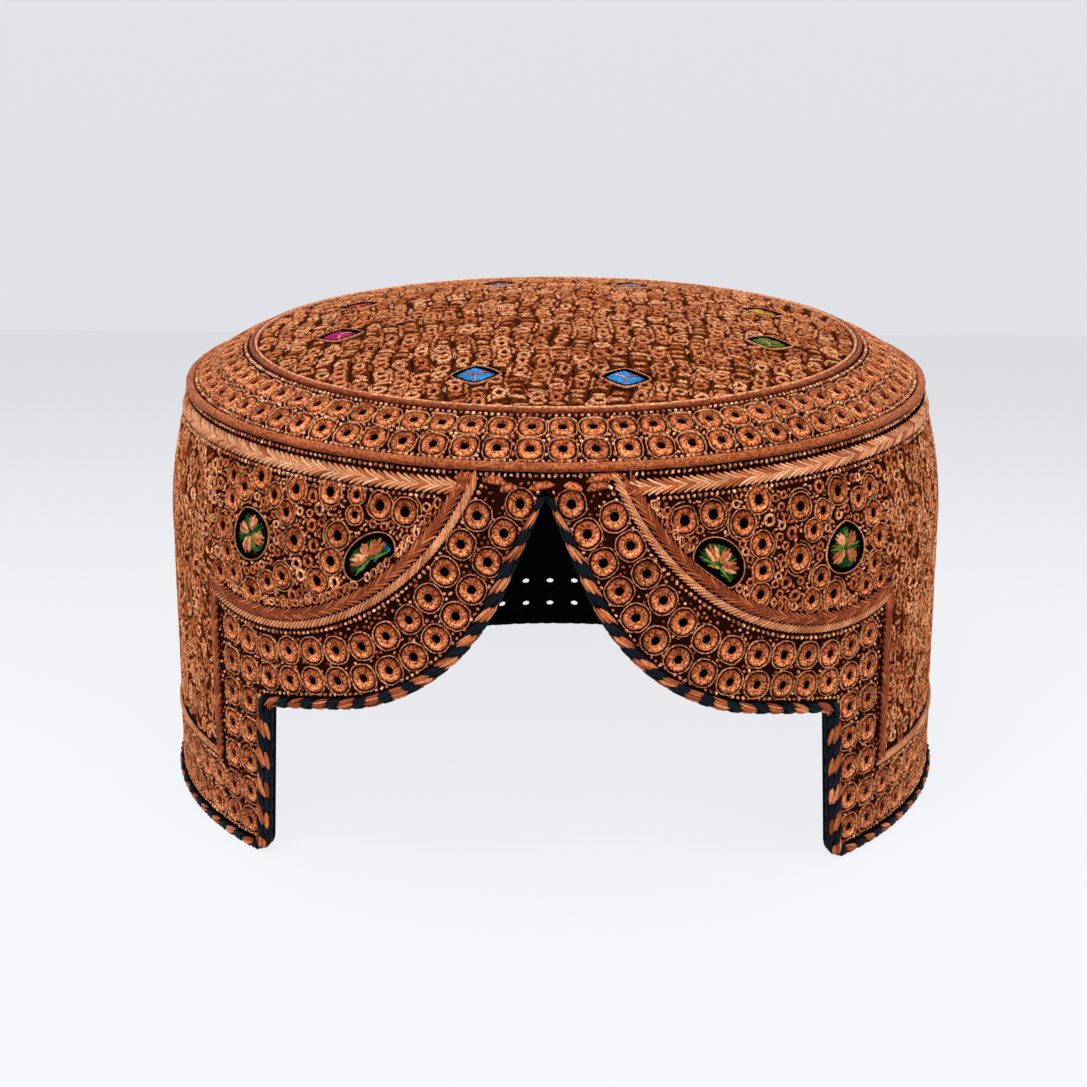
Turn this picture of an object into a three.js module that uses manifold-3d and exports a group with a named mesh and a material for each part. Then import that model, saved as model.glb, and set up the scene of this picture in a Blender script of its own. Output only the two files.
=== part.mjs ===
// Sindhi cap: a stiff round cap with a gently domed crown and an upright wall, cut away at the front
// in a pointed arch between two hanging lobes, with a square step at each side.
// Millimetres, +Z up. The front faces -Y, the Z axis is the cap's own axis and the rim stands on z = 0.
//
// The wall is drawn flat, as its cloth is cut: x is the length along the wall from the middle of the
// front, measured at WALL_RADIUS, and y is the height above the rim. wrap() bends it round the axis.
// A profile is drawn with x as the radius and y as the height, from the apex down to the rim.

import * as THREE from 'three';
import { mergeVertices } from 'three/addons/utils/BufferGeometryUtils.js';
import Module from 'manifold-3d';

// Outer face of the cloth
const WALL_RADIUS = 91.2;
const BEND_START = 63.5; // the wall is upright below this height and leans in above it
const SEAM_RADIUS = 85.6;
const SEAM_HEIGHT = 95.6;
const SHOULDER_BULGE = 1.0;
const RING_RADIUS = 71.1;
const RING_HEIGHT = 103.8;
const CROWN_HEIGHT = 111.3;

// Thicknesses, and the gap between pieces that touch
const CLOTH = 1.5;
const LINING = 1.0;
const TAPE = 0.8;
const GAP = 0.3;

// Front opening, one half, at the finished edge
const PEAK_HEIGHT = 90.2;
const PEAK_LEAN = 23 * Math.PI / 180; // of the edge beside the peak, from the vertical
const LOBE_ROUND = 49;
const LOBE_DROP = 11.5 * Math.PI / 180; // of the edge beside the step, from the horizontal
const STEP_ACROSS = 66.5;
const STEP_HEIGHT = 36.1;
const FOOT_ACROSS = 68.9;
const FOOT_ROUND = 4.6;
const SHARPEST_MITRE = 1.6;

// Binding
const TAPE_WIDTH = 4.2;
const TAPE_WIDTH_AT_PEAK = 1.8;
const TAPE_TAPER = 16; // length beside the peak over which the tape narrows

// Cords and braids
const SEAM_ALLOWANCE = 1.25; // from the seam line to the cloth's cut edge, on both sides of the piping
const PIPING_RADIUS = 1.0;
const PIPING_LIFT = 0.6;
const CORD_WIDTH = 2.2;
const CORD_THICKNESS = 1.0;
const BRAID_WIDTH = 3.2;
const BRAID_SLOPE = 0.4; // at each side of a braid
const BRAID_THICKNESS = 0.8;
const TOP_BRAID_HEIGHT = 91.5;
const TOP_BRAID_START = 19.4;
const LOBE_BRAID_ACROSS = 70.9; // centre of the arc that the braid follows over a lobe
const LOBE_BRAID_HEIGHT = 115.8;
const LOBE_BRAID_RADIUS = 60;
const LOBE_BRAID_TOP = 93;
const LEG_BRAID_ACROSS = 87.1;
const BASE_BRAID_HEIGHT = 18.9;

// Fineness of the facets
const SEGMENTS = 64; // round the axis
const BEND_STEPS = 3;
const SHOULDER_STEPS = 2;
const DOME_STEPS = 3;
const FOOT_STEPS = 4;
const LOBE_STEPS = 9;
const LONGEST_STEP = 9; // along the binding and the braids
const PIPING_SIDES = 8;
const CORD_STEPS = 4;

// How far the front cut reaches past the cloth's faces and below the rim
const CUTTER_REACH = 6;
const CUTTER_DROP = 5;

const wasm = await Module();
wasm.setup();

const point = (x, y) => new THREE.Vector2(x, y);
const arc = (x, y, radius, from, to, clockwise, steps) => (
  new THREE.EllipseCurve(x, y, radius, radius, from, to, clockwise).getPoints(steps)
);
const mirrored = (line) => line.map((p) => point(-p.x, p.y)).reverse();
const closed = (profile) => [...profile, profile[0].clone()];

// The arc from start to end whose middle stands off the chord, on its left, by the bulge
function bulgedArc(start, end, bulge, steps) {
  const chord = end.clone().sub(start);
  const half = chord.length() / 2;
  const radius = (half ** 2 + bulge ** 2) / (2 * bulge);
  const left = point(-chord.y, chord.x).normalize();
  const centre = start.clone().lerp(end, 0.5).addScaledVector(left, bulge - radius);
  const from = start.clone().sub(centre).angle();
  const to = end.clone().sub(centre).angle();
  return arc(centre.x, centre.y, radius, from, to, true, steps);
}

// The arc that rounds the corner between two straight edges
function roundedCorner(before, corner, after, radius, steps) {
  const toBefore = before.clone().sub(corner).normalize();
  const toAfter = after.clone().sub(corner).normalize();
  const halfAngle = Math.acos(toBefore.dot(toAfter)) / 2;
  const inwards = toBefore.clone().add(toAfter).normalize();
  const centre = corner.clone().addScaledVector(inwards, radius / Math.sin(halfAngle));
  const setBack = radius / Math.tan(halfAngle);
  const from = corner.clone().addScaledVector(toBefore, setBack).sub(centre).angle();
  const to = corner.clone().addScaledVector(toAfter, setBack).sub(centre).angle();
  const clockwise = toBefore.cross(toAfter) > 0;
  return arc(centre.x, centre.y, radius, from, to, clockwise, steps);
}

// For each point of a line, the step that moves it one millimetre to the right, mitred at corners
function sideSteps(line) {
  const along = line.slice(1).map((p, i) => p.clone().sub(line[i]).normalize());
  return line.map((_, i) => {
    const before = along[Math.max(i - 1, 0)];
    const after = along[Math.min(i, along.length - 1)];
    const mean = before.clone().add(after).normalize();
    const mitre = Math.min(1 / mean.dot(after), SHARPEST_MITRE);
    return point(mean.y, -mean.x).multiplyScalar(mitre);
  });
}

function moved(line, distance) {
  const steps = sideSteps(line);
  return line.map((p, i) => p.clone().addScaledVector(steps[i], distance));
}

// The same line with points added, so that no stretch is longer than LONGEST_STEP
function subdivided(line) {
  const fine = [line[0]];
  for (let i = 1; i < line.length; i += 1) {
    const pieces = Math.ceil(line[i].distanceTo(line[i - 1]) / LONGEST_STEP);
    for (let k = 1; k <= pieces; k += 1) {
      fine.push(line[i - 1].clone().lerp(line[i], k / pieces));
    }
  }
  return fine;
}

// A line shortened at its start or its end
function trimmedStart(line, length) {
  const start = line[0].clone();
  start.addScaledVector(line[1].clone().sub(start).normalize(), length);
  return [start, ...line.slice(1)];
}

const trimmedEnd = (line, length) => trimmedStart([...line].reverse(), length).reverse();

// Profile of the cloth's outer face
const BEND_INSET = WALL_RADIUS - SEAM_RADIUS;
const BEND_RISE = SEAM_HEIGHT - BEND_START;
const BEND_RADIUS = (BEND_INSET ** 2 + BEND_RISE ** 2) / (2 * BEND_INSET);
const DOME_RISE = CROWN_HEIGHT - RING_HEIGHT;
const DOME_RADIUS = (RING_RADIUS ** 2 + DOME_RISE ** 2) / (2 * DOME_RISE);

const ring = point(RING_RADIUS, RING_HEIGHT);
const seam = point(SEAM_RADIUS, SEAM_HEIGHT);
const domeEnd = Math.PI / 2 - Math.asin(RING_RADIUS / DOME_RADIUS);
const dome = arc(0, CROWN_HEIGHT - DOME_RADIUS, DOME_RADIUS, Math.PI / 2, domeEnd, true, DOME_STEPS);
const shoulder = bulgedArc(ring, seam, SHOULDER_BULGE, SHOULDER_STEPS);
const bendTop = Math.asin(BEND_RISE / BEND_RADIUS);
const bend = arc(WALL_RADIUS - BEND_RADIUS, BEND_START, BEND_RADIUS, bendTop, 0, true, BEND_STEPS);
const crownFace = [...dome, ...shoulder.slice(1)];
const wallFace = (rim) => [...bend, point(WALL_RADIUS, rim)];

// The layer of given thickness that lies at a depth behind a profile line
function layer(line, depth, thickness) {
  const outer = moved(line, depth);
  const inner = moved(line, depth + thickness);
  if (line[0].x < GAP) {
    outer[0].x = 0;
    inner[0].x = 0;
  }
  return [...inner, ...outer.reverse()];
}

// A profile turned round the axis
function turned(profile) {
  return new THREE.LatheGeometry(profile, SEGMENTS).rotateX(Math.PI / 2);
}

// Bends a flat point of the wall round the axis, lifted off the cloth's outer face
function wrap(flat, lift) {
  const lean = Math.asin(Math.max(flat.y - BEND_START, 0) / BEND_RADIUS);
  const radius = WALL_RADIUS - BEND_RADIUS * (1 - Math.cos(lean)) + lift * Math.cos(lean);
  const angle = flat.x / WALL_RADIUS;
  const height = flat.y + lift * Math.sin(lean);
  return new THREE.Vector3(radius * Math.sin(angle), -radius * Math.cos(angle), height);
}

// A skin over rings of points, each ring joined to the next. A loop joins the last to the first, and
// otherwise both ends are closed.
function lofted(rings, loop) {
  const sides = rings[0].length;
  const spans = loop ? rings.length : rings.length - 1;
  const faces = [];
  for (let i = 0; i < spans; i += 1) {
    const here = i * sides;
    const next = ((i + 1) % rings.length) * sides;
    for (let k = 0; k < sides; k += 1) {
      const turn = (k + 1) % sides;
      faces.push(here + k, next + k, next + turn, here + k, next + turn, here + turn);
    }
  }
  if (!loop) {
    const last = spans * sides;
    for (let k = 1; k < sides - 1; k += 1) {
      faces.push(0, k, k + 1, last, last + k + 1, last + k);
    }
  }
  const geometry = new THREE.BufferGeometry();
  const places = rings.flat().flatMap((p) => p.toArray());
  geometry.setAttribute('position', new THREE.Float32BufferAttribute(places, 3));
  geometry.setIndex(faces);
  return geometry;
}

// A section swept along a flat line on the wall. section(p) gives its points where the line passes p,
// with x to the right of the line and y off the cloth.
function swept(line, section, loop) {
  const steps = sideSteps(line);
  const stations = loop ? line.slice(0, -1) : line;
  return lofted(stations.map((p, i) => section(p).map((s) => (
    wrap(p.clone().addScaledVector(steps[i], s.x), s.y)
  ))), loop);
}

function solidOf(geometry) {
  const bare = geometry.clone();
  bare.deleteAttribute('normal');
  bare.deleteAttribute('uv');
  const merged = mergeVertices(bare, 1e-4);
  const vertProperties = new Float32Array(merged.attributes.position.array);
  const triVerts = new Uint32Array(merged.index.array);
  return new wasm.Manifold(new wasm.Mesh({ numProp: 3, vertProperties, triVerts }));
}

function cutAway(geometry, cutter) {
  const mesh = solidOf(geometry).subtract(solidOf(cutter)).getMesh();
  const rest = new THREE.BufferGeometry();
  rest.setAttribute('position', new THREE.BufferAttribute(mesh.vertProperties, 3));
  rest.setIndex(new THREE.BufferAttribute(mesh.triVerts, 1));
  return rest;
}

// Finished edge of the right half. It runs from the middle of the back along the rim, round the foot
// of the leg, up to the step and along the lobe to the peak, with the cloth on its right.
const back = point(Math.PI * WALL_RADIUS, 0);
const foot = point(FOOT_ACROSS, 0);
const step = point(STEP_ACROSS, STEP_HEIGHT);
const peak = point(0, PEAK_HEIGHT);
const alongLobe = point(-Math.cos(LOBE_DROP), Math.sin(LOBE_DROP));
const alongPeak = point(Math.sin(PEAK_LEAN), -Math.cos(PEAK_LEAN));
const lobeReach = peak.clone().sub(step).cross(alongPeak) / alongLobe.cross(alongPeak);
const lobe = step.clone().addScaledVector(alongLobe, lobeReach);
const footEdge = roundedCorner(back, foot, step, FOOT_ROUND, FOOT_STEPS);
const lobeEdge = [step, ...roundedCorner(step, lobe, peak, LOBE_ROUND, LOBE_STEPS), peak];

// What is cut out of the cloth below half an edge and its mirror image, leaving a margin to the edge
function openingCutter(halfEdge, margin) {
  const edge = moved(subdivided([...halfEdge, ...mirrored(halfEdge).slice(1)]), margin);
  return lofted(edge.map((p) => {
    const below = point(p.x, -CUTTER_DROP);
    return [
      wrap(p, CUTTER_REACH),
      wrap(below, CUTTER_REACH),
      wrap(below, -CUTTER_REACH),
      wrap(p, -CUTTER_REACH),
    ];
  }), false);
}

function crown() {
  return turned(layer(trimmedEnd(crownFace, SEAM_ALLOWANCE), 0, CLOTH));
}

// A half round laid flat on the crown where the dome meets the shoulder
function crownCord() {
  const inwards = sideSteps(crownFace)[DOME_STEPS].normalize();
  const along = point(-inwards.y, inwards.x);
  const half = arc(0, 0, 1, 0, Math.PI, false, CORD_STEPS);
  const profile = half.map((p) => (
    ring.clone()
      .addScaledVector(along, p.x * CORD_WIDTH / 2)
      .addScaledVector(inwards, -GAP - p.y * CORD_THICKNESS)
  ));
  return turned(closed(profile));
}

function seamPiping() {
  const face = [...crownFace, ...wallFace(0).slice(1)];
  const inwards = sideSteps(face)[crownFace.length - 1].normalize();
  const centre = seam.clone().addScaledVector(inwards, -PIPING_LIFT);
  return turned(arc(centre.x, centre.y, PIPING_RADIUS, 0, 2 * Math.PI, false, PIPING_SIDES));
}

function sideWall() {
  const margin = TAPE + GAP;
  const wall = layer(trimmedStart(wallFace(margin), SEAM_ALLOWANCE), 0, CLOTH);
  return cutAway(turned(closed(wall)), openingCutter([...footEdge.slice(1), ...lobeEdge], margin));
}

// The lining stops short of the binding, which is as thick on the inside
function lining() {
  const margin = TAPE_WIDTH + GAP;
  const face = [...crownFace, ...wallFace(margin).slice(1)];
  const legLine = step.clone().sub(foot);
  const below = foot.clone().addScaledVector(legLine, -CUTTER_DROP / STEP_HEIGHT);
  const cup = turned(layer(face, CLOTH + GAP, LINING));
  return cutAway(cup, openingCutter([below, ...lobeEdge], margin));
}

// A tape folded over the edge, with one leg on the cloth's face and one behind it
function edgeBinding() {
  const face = GAP;
  const behind = -CLOTH - GAP;
  const section = (p) => {
    const nearPeak = Math.max(1 - p.distanceTo(peak) / TAPE_TAPER, 0);
    const width = THREE.MathUtils.lerp(TAPE_WIDTH, TAPE_WIDTH_AT_PEAK, nearPeak);
    return [
      point(width, face + TAPE),
      point(0, face + TAPE),
      point(0, behind - TAPE),
      point(width, behind - TAPE),
      point(width, behind),
      point(TAPE, behind),
      point(TAPE, face),
      point(width, face),
    ];
  };
  const half = [back, ...footEdge, ...lobeEdge];
  return swept(subdivided([...half, ...mirrored(half).slice(1)]), section, true);
}

// A flat braid along the right half of a line, from its front end to the back, and its mirror image
function braid(rightHalf) {
  const half = BRAID_WIDTH / 2;
  const crest = half - BRAID_SLOPE;
  const top = GAP + BRAID_THICKNESS;
  const section = () => [point(half, GAP), point(crest, top), point(-crest, top), point(-half, GAP)];
  const leftHalf = mirrored(rightHalf).map((p) => p.setX(p.x + 2 * back.x));
  return swept(subdivided([...rightHalf, ...leftHalf.slice(1)]), section, false);
}

function topBraid() {
  return braid([point(TOP_BRAID_START, TOP_BRAID_HEIGHT), point(back.x, TOP_BRAID_HEIGHT)]);
}

function panelBraid() {
  const from = Math.PI - Math.asin((LOBE_BRAID_TOP - LOBE_BRAID_HEIGHT) / LOBE_BRAID_RADIUS);
  const to = 2 * Math.PI - Math.acos((LEG_BRAID_ACROSS - LOBE_BRAID_ACROSS) / LOBE_BRAID_RADIUS);
  return braid([
    ...arc(LOBE_BRAID_ACROSS, LOBE_BRAID_HEIGHT, LOBE_BRAID_RADIUS, from, to, false, LOBE_STEPS),
    point(LEG_BRAID_ACROSS, BASE_BRAID_HEIGHT),
    point(back.x, BASE_BRAID_HEIGHT),
  ]);
}

function finish(colour, roughness) {
  return new THREE.MeshStandardMaterial({ color: colour, roughness, metalness: 0 });
}

const embroidered = finish('#6b4228', 0.8);
const copperThread = finish('#b07a52', 0.6);
const rustThread = finish('#7d452a', 0.6);
const stripedTape = finish('#2a2124', 0.7);
const blackCotton = finish('#0e0d10', 0.9);

const pieces = [
  ['crown', crown(), embroidered],
  ['crown_cord', crownCord(), rustThread],
  ['seam_piping', seamPiping(), copperThread],
  ['side_wall', sideWall(), embroidered],
  ['edge_binding', edgeBinding(), stripedTape],
  ['top_braid', topBraid(), copperThread],
  ['panel_braid', panelBraid(), copperThread],
  ['lining', lining(), blackCotton],
];

const cap = new THREE.Group();
for (const [name, geometry, material] of pieces) {
  const mesh = new THREE.Mesh(geometry, material);
  mesh.name = name;
  cap.add(mesh);
}

export default cap;
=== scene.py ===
"""Sindhi cap: a stiff round cap covered in copper thread work, dressed on its solid model.

Thread work is drawn flat, in millimetres, as it is stitched: first two numbers lie in the cloth and the
third is the lift off its outer face. A surface then bends it into place, in metres.
"""

import logging
import math
from dataclasses import dataclass
from enum import Enum
from typing import Callable, Protocol, Sequence

import bpy
import numpy as np
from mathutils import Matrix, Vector
from mathutils.geometry import delaunay_2d_cdt


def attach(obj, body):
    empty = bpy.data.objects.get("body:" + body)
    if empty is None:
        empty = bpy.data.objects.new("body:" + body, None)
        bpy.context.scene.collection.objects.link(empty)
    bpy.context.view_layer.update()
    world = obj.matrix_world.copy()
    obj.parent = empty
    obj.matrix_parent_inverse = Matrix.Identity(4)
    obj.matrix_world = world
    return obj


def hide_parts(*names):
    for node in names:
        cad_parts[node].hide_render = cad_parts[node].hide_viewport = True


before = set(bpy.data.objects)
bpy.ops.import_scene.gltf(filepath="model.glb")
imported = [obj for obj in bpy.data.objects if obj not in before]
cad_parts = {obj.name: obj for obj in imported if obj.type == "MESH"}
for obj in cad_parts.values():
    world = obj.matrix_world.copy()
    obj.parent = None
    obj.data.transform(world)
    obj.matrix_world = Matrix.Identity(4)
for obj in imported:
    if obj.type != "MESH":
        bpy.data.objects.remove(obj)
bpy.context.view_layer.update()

LOG = logging.getLogger("sindhi_cap")
MM = 0.001
BODY = "root"
TINY = 1e-9

Array = np.ndarray
Cut = tuple[Array, Array]
Pair = tuple[float, float]
Spots = tuple[Pair, ...]
Rng = np.random.Generator
Mask = Callable[[Array], Array]
Piece = bpy.types.Object
Material = bpy.types.Material
Socket = bpy.types.NodeSocket
Tree = bpy.types.NodeTree


class Dye(Enum):
    """Thread and cloth colours, as sRGB hex."""

    COPPER = "bd673d"
    BRIGHT_COPPER = "d58456"
    LIGHT_COPPER = "e99d6e"
    CREAM = "f3b586"
    RUST = "97492a"
    UMBER = "5e290e"
    NAVY = "151b24"
    BLACK = "020202"
    EARTH = "240700"
    BLUE = "3f8fd8"
    MAGENTA = "c02a78"
    PINK = "b2344a"
    GREEN = "658c30"
    LEAF = "1c5a2e"
    GOLD = "e0ac35"

    def linear(self) -> Array:
        """Linear RGB of the dye."""
        srgb = np.array([int(self.value[i:i + 2], 16) / 255 for i in (0, 2, 4)])
        return np.where(srgb <= 0.04045, srgb / 12.92, ((srgb + 0.055) / 1.055) ** 2.4)


Dyes = Dye | Sequence[Dye]

DEEPEN = np.array([1.0, 1.32, 1.5])
"""Powers by which shade falls in red, green and blue: dark thread looks redder, lit thread paler."""


class Section(Enum):
    """Cross sections of a laid thread: across from -1 to 1, and up from 0 to 1."""

    RIDGE = ((-1, 0), (0, 1), (1, 0))
    ROUND = ((-1, 0), (-0.6, 0.85), (0.6, 0.85), (1, 0))
    FULL = ((-1, 0), (-0.72, 0.74), (0, 1), (0.72, 0.74), (1, 0))


@dataclass(frozen=True)
class CapForm:
    """Sizes of the cap's outer face and of its layers, in millimetres."""

    wall_radius: float = 91.2
    bend_start: float = 63.5
    seam_radius: float = 85.6
    seam_height: float = 95.6
    shoulder_bulge: float = 1.0
    ring_radius: float = 71.1
    ring_height: float = 103.8
    crown_height: float = 111.3
    seam_allowance: float = 1.25
    cloth: float = 1.5
    lining: float = 1.0
    tape: float = 0.8
    gap: float = 0.3

    @property
    def half_round(self) -> float:
        """Length along the wall from the middle of the front to the middle of the back."""
        return math.pi * self.wall_radius

    @property
    def bend_radius(self) -> float:
        """Radius of the wall's lean above bend_start."""
        inset = self.wall_radius - self.seam_radius
        rise = self.seam_height - self.bend_start
        return (inset ** 2 + rise ** 2) / (2 * inset)


FORM = CapForm()


class Surface(Protocol):
    """What thread work lies on."""

    def place(self, flat: Array) -> Array:
        """Bends flat points in millimetres into place, in metres."""


class Finish(Protocol):
    """How a piece looks."""

    def material(self) -> Material:
        """The finish as a material."""


class WallSurface:
    """The upright wall. Flat points are (along the wall, height, lift)."""

    def place(self, flat: Array) -> Array:
        """Bends flat points round the wall.

        Args:
            flat: Points in millimetres, shape (n, 3).

        Returns:
            Points in metres, shape (n, 3).
        """
        along, height, lift = flat.T
        steepest = FORM.bend_radius * 0.9
        rise = np.clip(height - FORM.bend_start, 0, steepest)
        lean = np.arcsin(rise / FORM.bend_radius)
        radius = FORM.wall_radius - FORM.bend_radius * (1 - np.cos(lean)) + lift * np.cos(lean)
        angle = along / FORM.wall_radius
        up = height + lift * np.sin(lean)
        return np.stack([radius * np.sin(angle), -radius * np.cos(angle), up], axis=1) * MM


class CrownSurface:
    """The dome and its shoulder. Flat points are (x, y, lift), with distances kept from the apex."""

    def __init__(self) -> None:
        """Works out the dome's and the shoulder's arcs."""
        rise = FORM.crown_height - FORM.ring_height
        self.dome = (FORM.ring_radius ** 2 + rise ** 2) / (2 * rise)
        self.ring_reach = self.dome * math.asin(FORM.ring_radius / self.dome)
        out = FORM.seam_radius - FORM.ring_radius
        drop = FORM.ring_height - FORM.seam_height
        half_chord = math.hypot(out, drop) / 2
        self.shoulder = (half_chord ** 2 + FORM.shoulder_bulge ** 2) / (2 * FORM.shoulder_bulge)
        spread = math.asin(half_chord / self.shoulder)
        self.slope_at_ring = math.atan2(drop, out) - spread
        self.seam_reach = self.ring_reach + 2 * spread * self.shoulder

    def place(self, flat: Array) -> Array:
        """Bends flat points over the crown.

        Args:
            flat: Points in millimetres, shape (n, 3).

        Returns:
            Points in metres, shape (n, 3).
        """
        reach = np.hypot(flat[:, 0], flat[:, 1])
        way = flat[:, :2] / np.maximum(reach, TINY)[:, None]
        inner = np.minimum(reach, self.ring_reach) / self.dome
        slope = self.slope_at_ring + (reach - self.ring_reach) / self.shoulder
        on_dome = reach <= self.ring_reach
        tilt = np.where(on_dome, inner, slope)
        start = self.slope_at_ring
        radius = np.where(
            on_dome,
            self.dome * np.sin(inner),
            FORM.ring_radius + self.shoulder * (np.sin(slope) - math.sin(start)),
        )
        height = np.where(
            on_dome,
            FORM.crown_height - self.dome * (1 - np.cos(inner)),
            FORM.ring_height - self.shoulder * (math.cos(start) - np.cos(slope)),
        )
        radius = radius + flat[:, 2] * np.sin(tilt)
        height = height + flat[:, 2] * np.cos(tilt)
        return np.stack([way[:, 0] * radius, way[:, 1] * radius, height], axis=1) * MM


WALL = WallSurface()
CROWN = CrownSurface()


def lengths_along(line: Array) -> Array:
    """Distance of each point of a line from its start."""
    steps = np.linalg.norm(np.diff(line, axis=0), axis=1)
    return np.concatenate([[0.0], np.cumsum(steps)])


def points_at(line: Array, distances: Array) -> Array:
    """Points of a line at given distances from its start."""
    along = lengths_along(line)
    return np.stack([np.interp(distances, along, line[:, i]) for i in range(2)], axis=1)


def spaced(line: Array, spacing: float) -> Array:
    """The same line with points about a spacing apart."""
    length = lengths_along(line)[-1]
    return points_at(line, np.linspace(0, length, max(int(round(length / spacing)), 1) + 1))


def unit(steps: Array) -> Array:
    """Directions of steps, at length one."""
    return steps / np.linalg.norm(steps, axis=1, keepdims=True)


def ways(line: Array) -> Array:
    """Unit direction at each point of a line."""
    return unit(np.gradient(line, axis=0))


def ways_at(angle: Array) -> Array:
    """Unit directions at angles in radians."""
    return np.stack([np.cos(angle), np.sin(angle)], axis=-1)


def angles_round(count: int) -> Array:
    """Angles of a count of points spread evenly round a circle."""
    return np.arange(count) * 2 * math.pi / count


def level_row(start: float, end: float, pitch: float, height: float) -> Array:
    """Points a pitch apart along the wall, at one height."""
    across = np.arange(start, end, pitch)
    return np.column_stack([across, np.full(len(across), height)])


def left_of(way: Array) -> Array:
    """Directions turned a quarter to the left."""
    return np.stack([-way[..., 1], way[..., 0]], axis=-1)


def moved_left(line: Array, distance: float | Array) -> Array:
    """A line moved to its left, mitred at its corners.

    Args:
        line: Points, shape (n, 2).
        distance: How far, for all points or for each.

    Returns:
        The moved points, shape (n, 2).
    """
    sharpest = 1.6
    step = unit(np.diff(line, axis=0))
    before = np.concatenate([step[:1], step])
    after = np.concatenate([step, step[-1:]])
    mean = unit(before + after)
    mitre = np.minimum(1 / np.sum(mean * after, axis=1), sharpest)
    return line + left_of(mean) * (mitre * distance)[:, None]


def mirrored(points: Array) -> Array:
    """Points of the right half taken to the left half."""
    return points * np.array([-1.0, 1.0])


def arc_points(centre: Array, radius: float, start: float, end: float, count: int) -> Array:
    """Points of an arc, with angles in radians."""
    return centre + radius * ways_at(np.linspace(start, end, count))


def clear_of(points: Array, centres: Array, reach: float | Array) -> Array:
    """Mask of the points that are farther than a reach from every centre."""
    if len(centres) == 0 or len(points) == 0:
        return np.ones(len(points), bool)
    apart = np.linalg.norm(points[:, None, :] - centres[None, :, :], axis=2)
    return np.all(apart > reach, axis=1)


def inside(points: Array, outline: Array) -> Array:
    """Mask of the points inside a closed outline, by counting crossings.

    Args:
        points: Points, shape (n, 2).
        outline: Closed outline, shape (k, 2).

    Returns:
        The mask, shape (n,).
    """
    x, y = points[:, 0, None], points[:, 1, None]
    x0, y0 = outline.T
    x1, y1 = np.roll(outline, -1, axis=0).T
    crosses = (y0 > y) != (y1 > y)
    with np.errstate(divide="ignore", invalid="ignore"):
        at = x0 + (y - y0) * (x1 - x0) / (y1 - y0)
    return np.sum(crosses & (x < at), axis=1) % 2 == 1


def honeycomb(low: Sequence[float], high: Sequence[float], pitch: float, rng: Rng) -> Array:
    """Points on a jittered triangular grid over a box.

    Args:
        low: Lowest corner of the box.
        high: Highest corner of the box.
        pitch: Distance between neighbours.
        rng: Source of the jitter.

    Returns:
        The points, shape (n, 2).
    """
    row_share, jitter = 0.866, 0.22
    x = np.arange(low[0], high[0], pitch)
    y = np.arange(low[1], high[1], pitch * row_share)
    grid = np.stack(np.meshgrid(x, y), axis=-1)
    grid[1::2, :, 0] += pitch / 2
    points = grid.reshape(-1, 2)
    return points + rng.uniform(-jitter, jitter, points.shape) * pitch


class Edge:
    """Finished lower edge of the right half, from the peak to the middle of the back, cloth on its left."""

    peak = np.array([0.0, 90.2])
    step = np.array([66.5, 36.1])
    foot = np.array([68.9, 0.0])
    back = np.array([FORM.half_round, 0.0])
    peak_lean = math.radians(23)
    lobe_drop = math.radians(11.5)
    lobe_round = 49.0
    foot_round = 4.6
    peak_reach = 25.0
    peak_draw = 2.5

    def rounded(self, before: Array, corner: Array, after: Array, radius: float, count: int) -> Array:
        """Points of the arc that rounds a corner between two straight edges.

        Args:
            before: A point of the edge before the corner.
            corner: The corner.
            after: A point of the edge after it.
            radius: Radius of the arc.
            count: Number of points.

        Returns:
            The points, shape (count, 2).
        """
        to_before = (before - corner) / np.linalg.norm(before - corner)
        to_after = (after - corner) / np.linalg.norm(after - corner)
        half = math.acos(float(to_before @ to_after)) / 2
        middle = (to_before + to_after) / np.linalg.norm(to_before + to_after)
        centre = corner + middle * radius / math.sin(half)
        set_back = radius / math.tan(half)
        ends = [corner + to_before * set_back - centre, corner + to_after * set_back - centre]
        start, end = (math.atan2(e[1], e[0]) for e in ends)
        turn = (end - start + math.pi) % (2 * math.pi) - math.pi
        return arc_points(centre, radius, start, start + turn, count)

    def lobe(self) -> Array:
        """Points from the peak along the lobe to the step."""
        down = np.array([math.sin(self.peak_lean), -math.cos(self.peak_lean)])
        back = np.array([-math.cos(self.lobe_drop), math.sin(self.lobe_drop)])
        reach = np.linalg.solve(np.stack([down, -back], axis=1), self.step - self.peak)
        corner = self.peak + down * reach[0]
        bend = self.rounded(self.peak, corner, self.step, self.lobe_round, 40)
        return np.concatenate([[self.peak], bend, [self.step]])

    def line(self) -> Array:
        """Points of the whole half edge, with the foot rounded."""
        toe = self.rounded(self.step, self.foot, self.back, self.foot_round, 9)
        return np.concatenate([self.lobe(), toe, [self.back]])

    def row(self, inset: float) -> list[Array]:
        """Lines of a border row: along the lobe, down the leg and round the base.

        Args:
            inset: Distance of the row from the finished edge.

        Returns:
            The three lines, which meet at their corners.
        """
        lobe = spaced(self.lobe(), 1.0)
        line = np.concatenate([lobe, [self.foot], [self.back]])
        near = np.clip(1 - np.linalg.norm(line - self.peak, axis=1) / self.peak_reach, 0, 1)
        row = moved_left(line, inset - self.peak_draw * near)
        return [row[:-2], row[-3:-1], row[-2:]]


EDGE = Edge()


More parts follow.
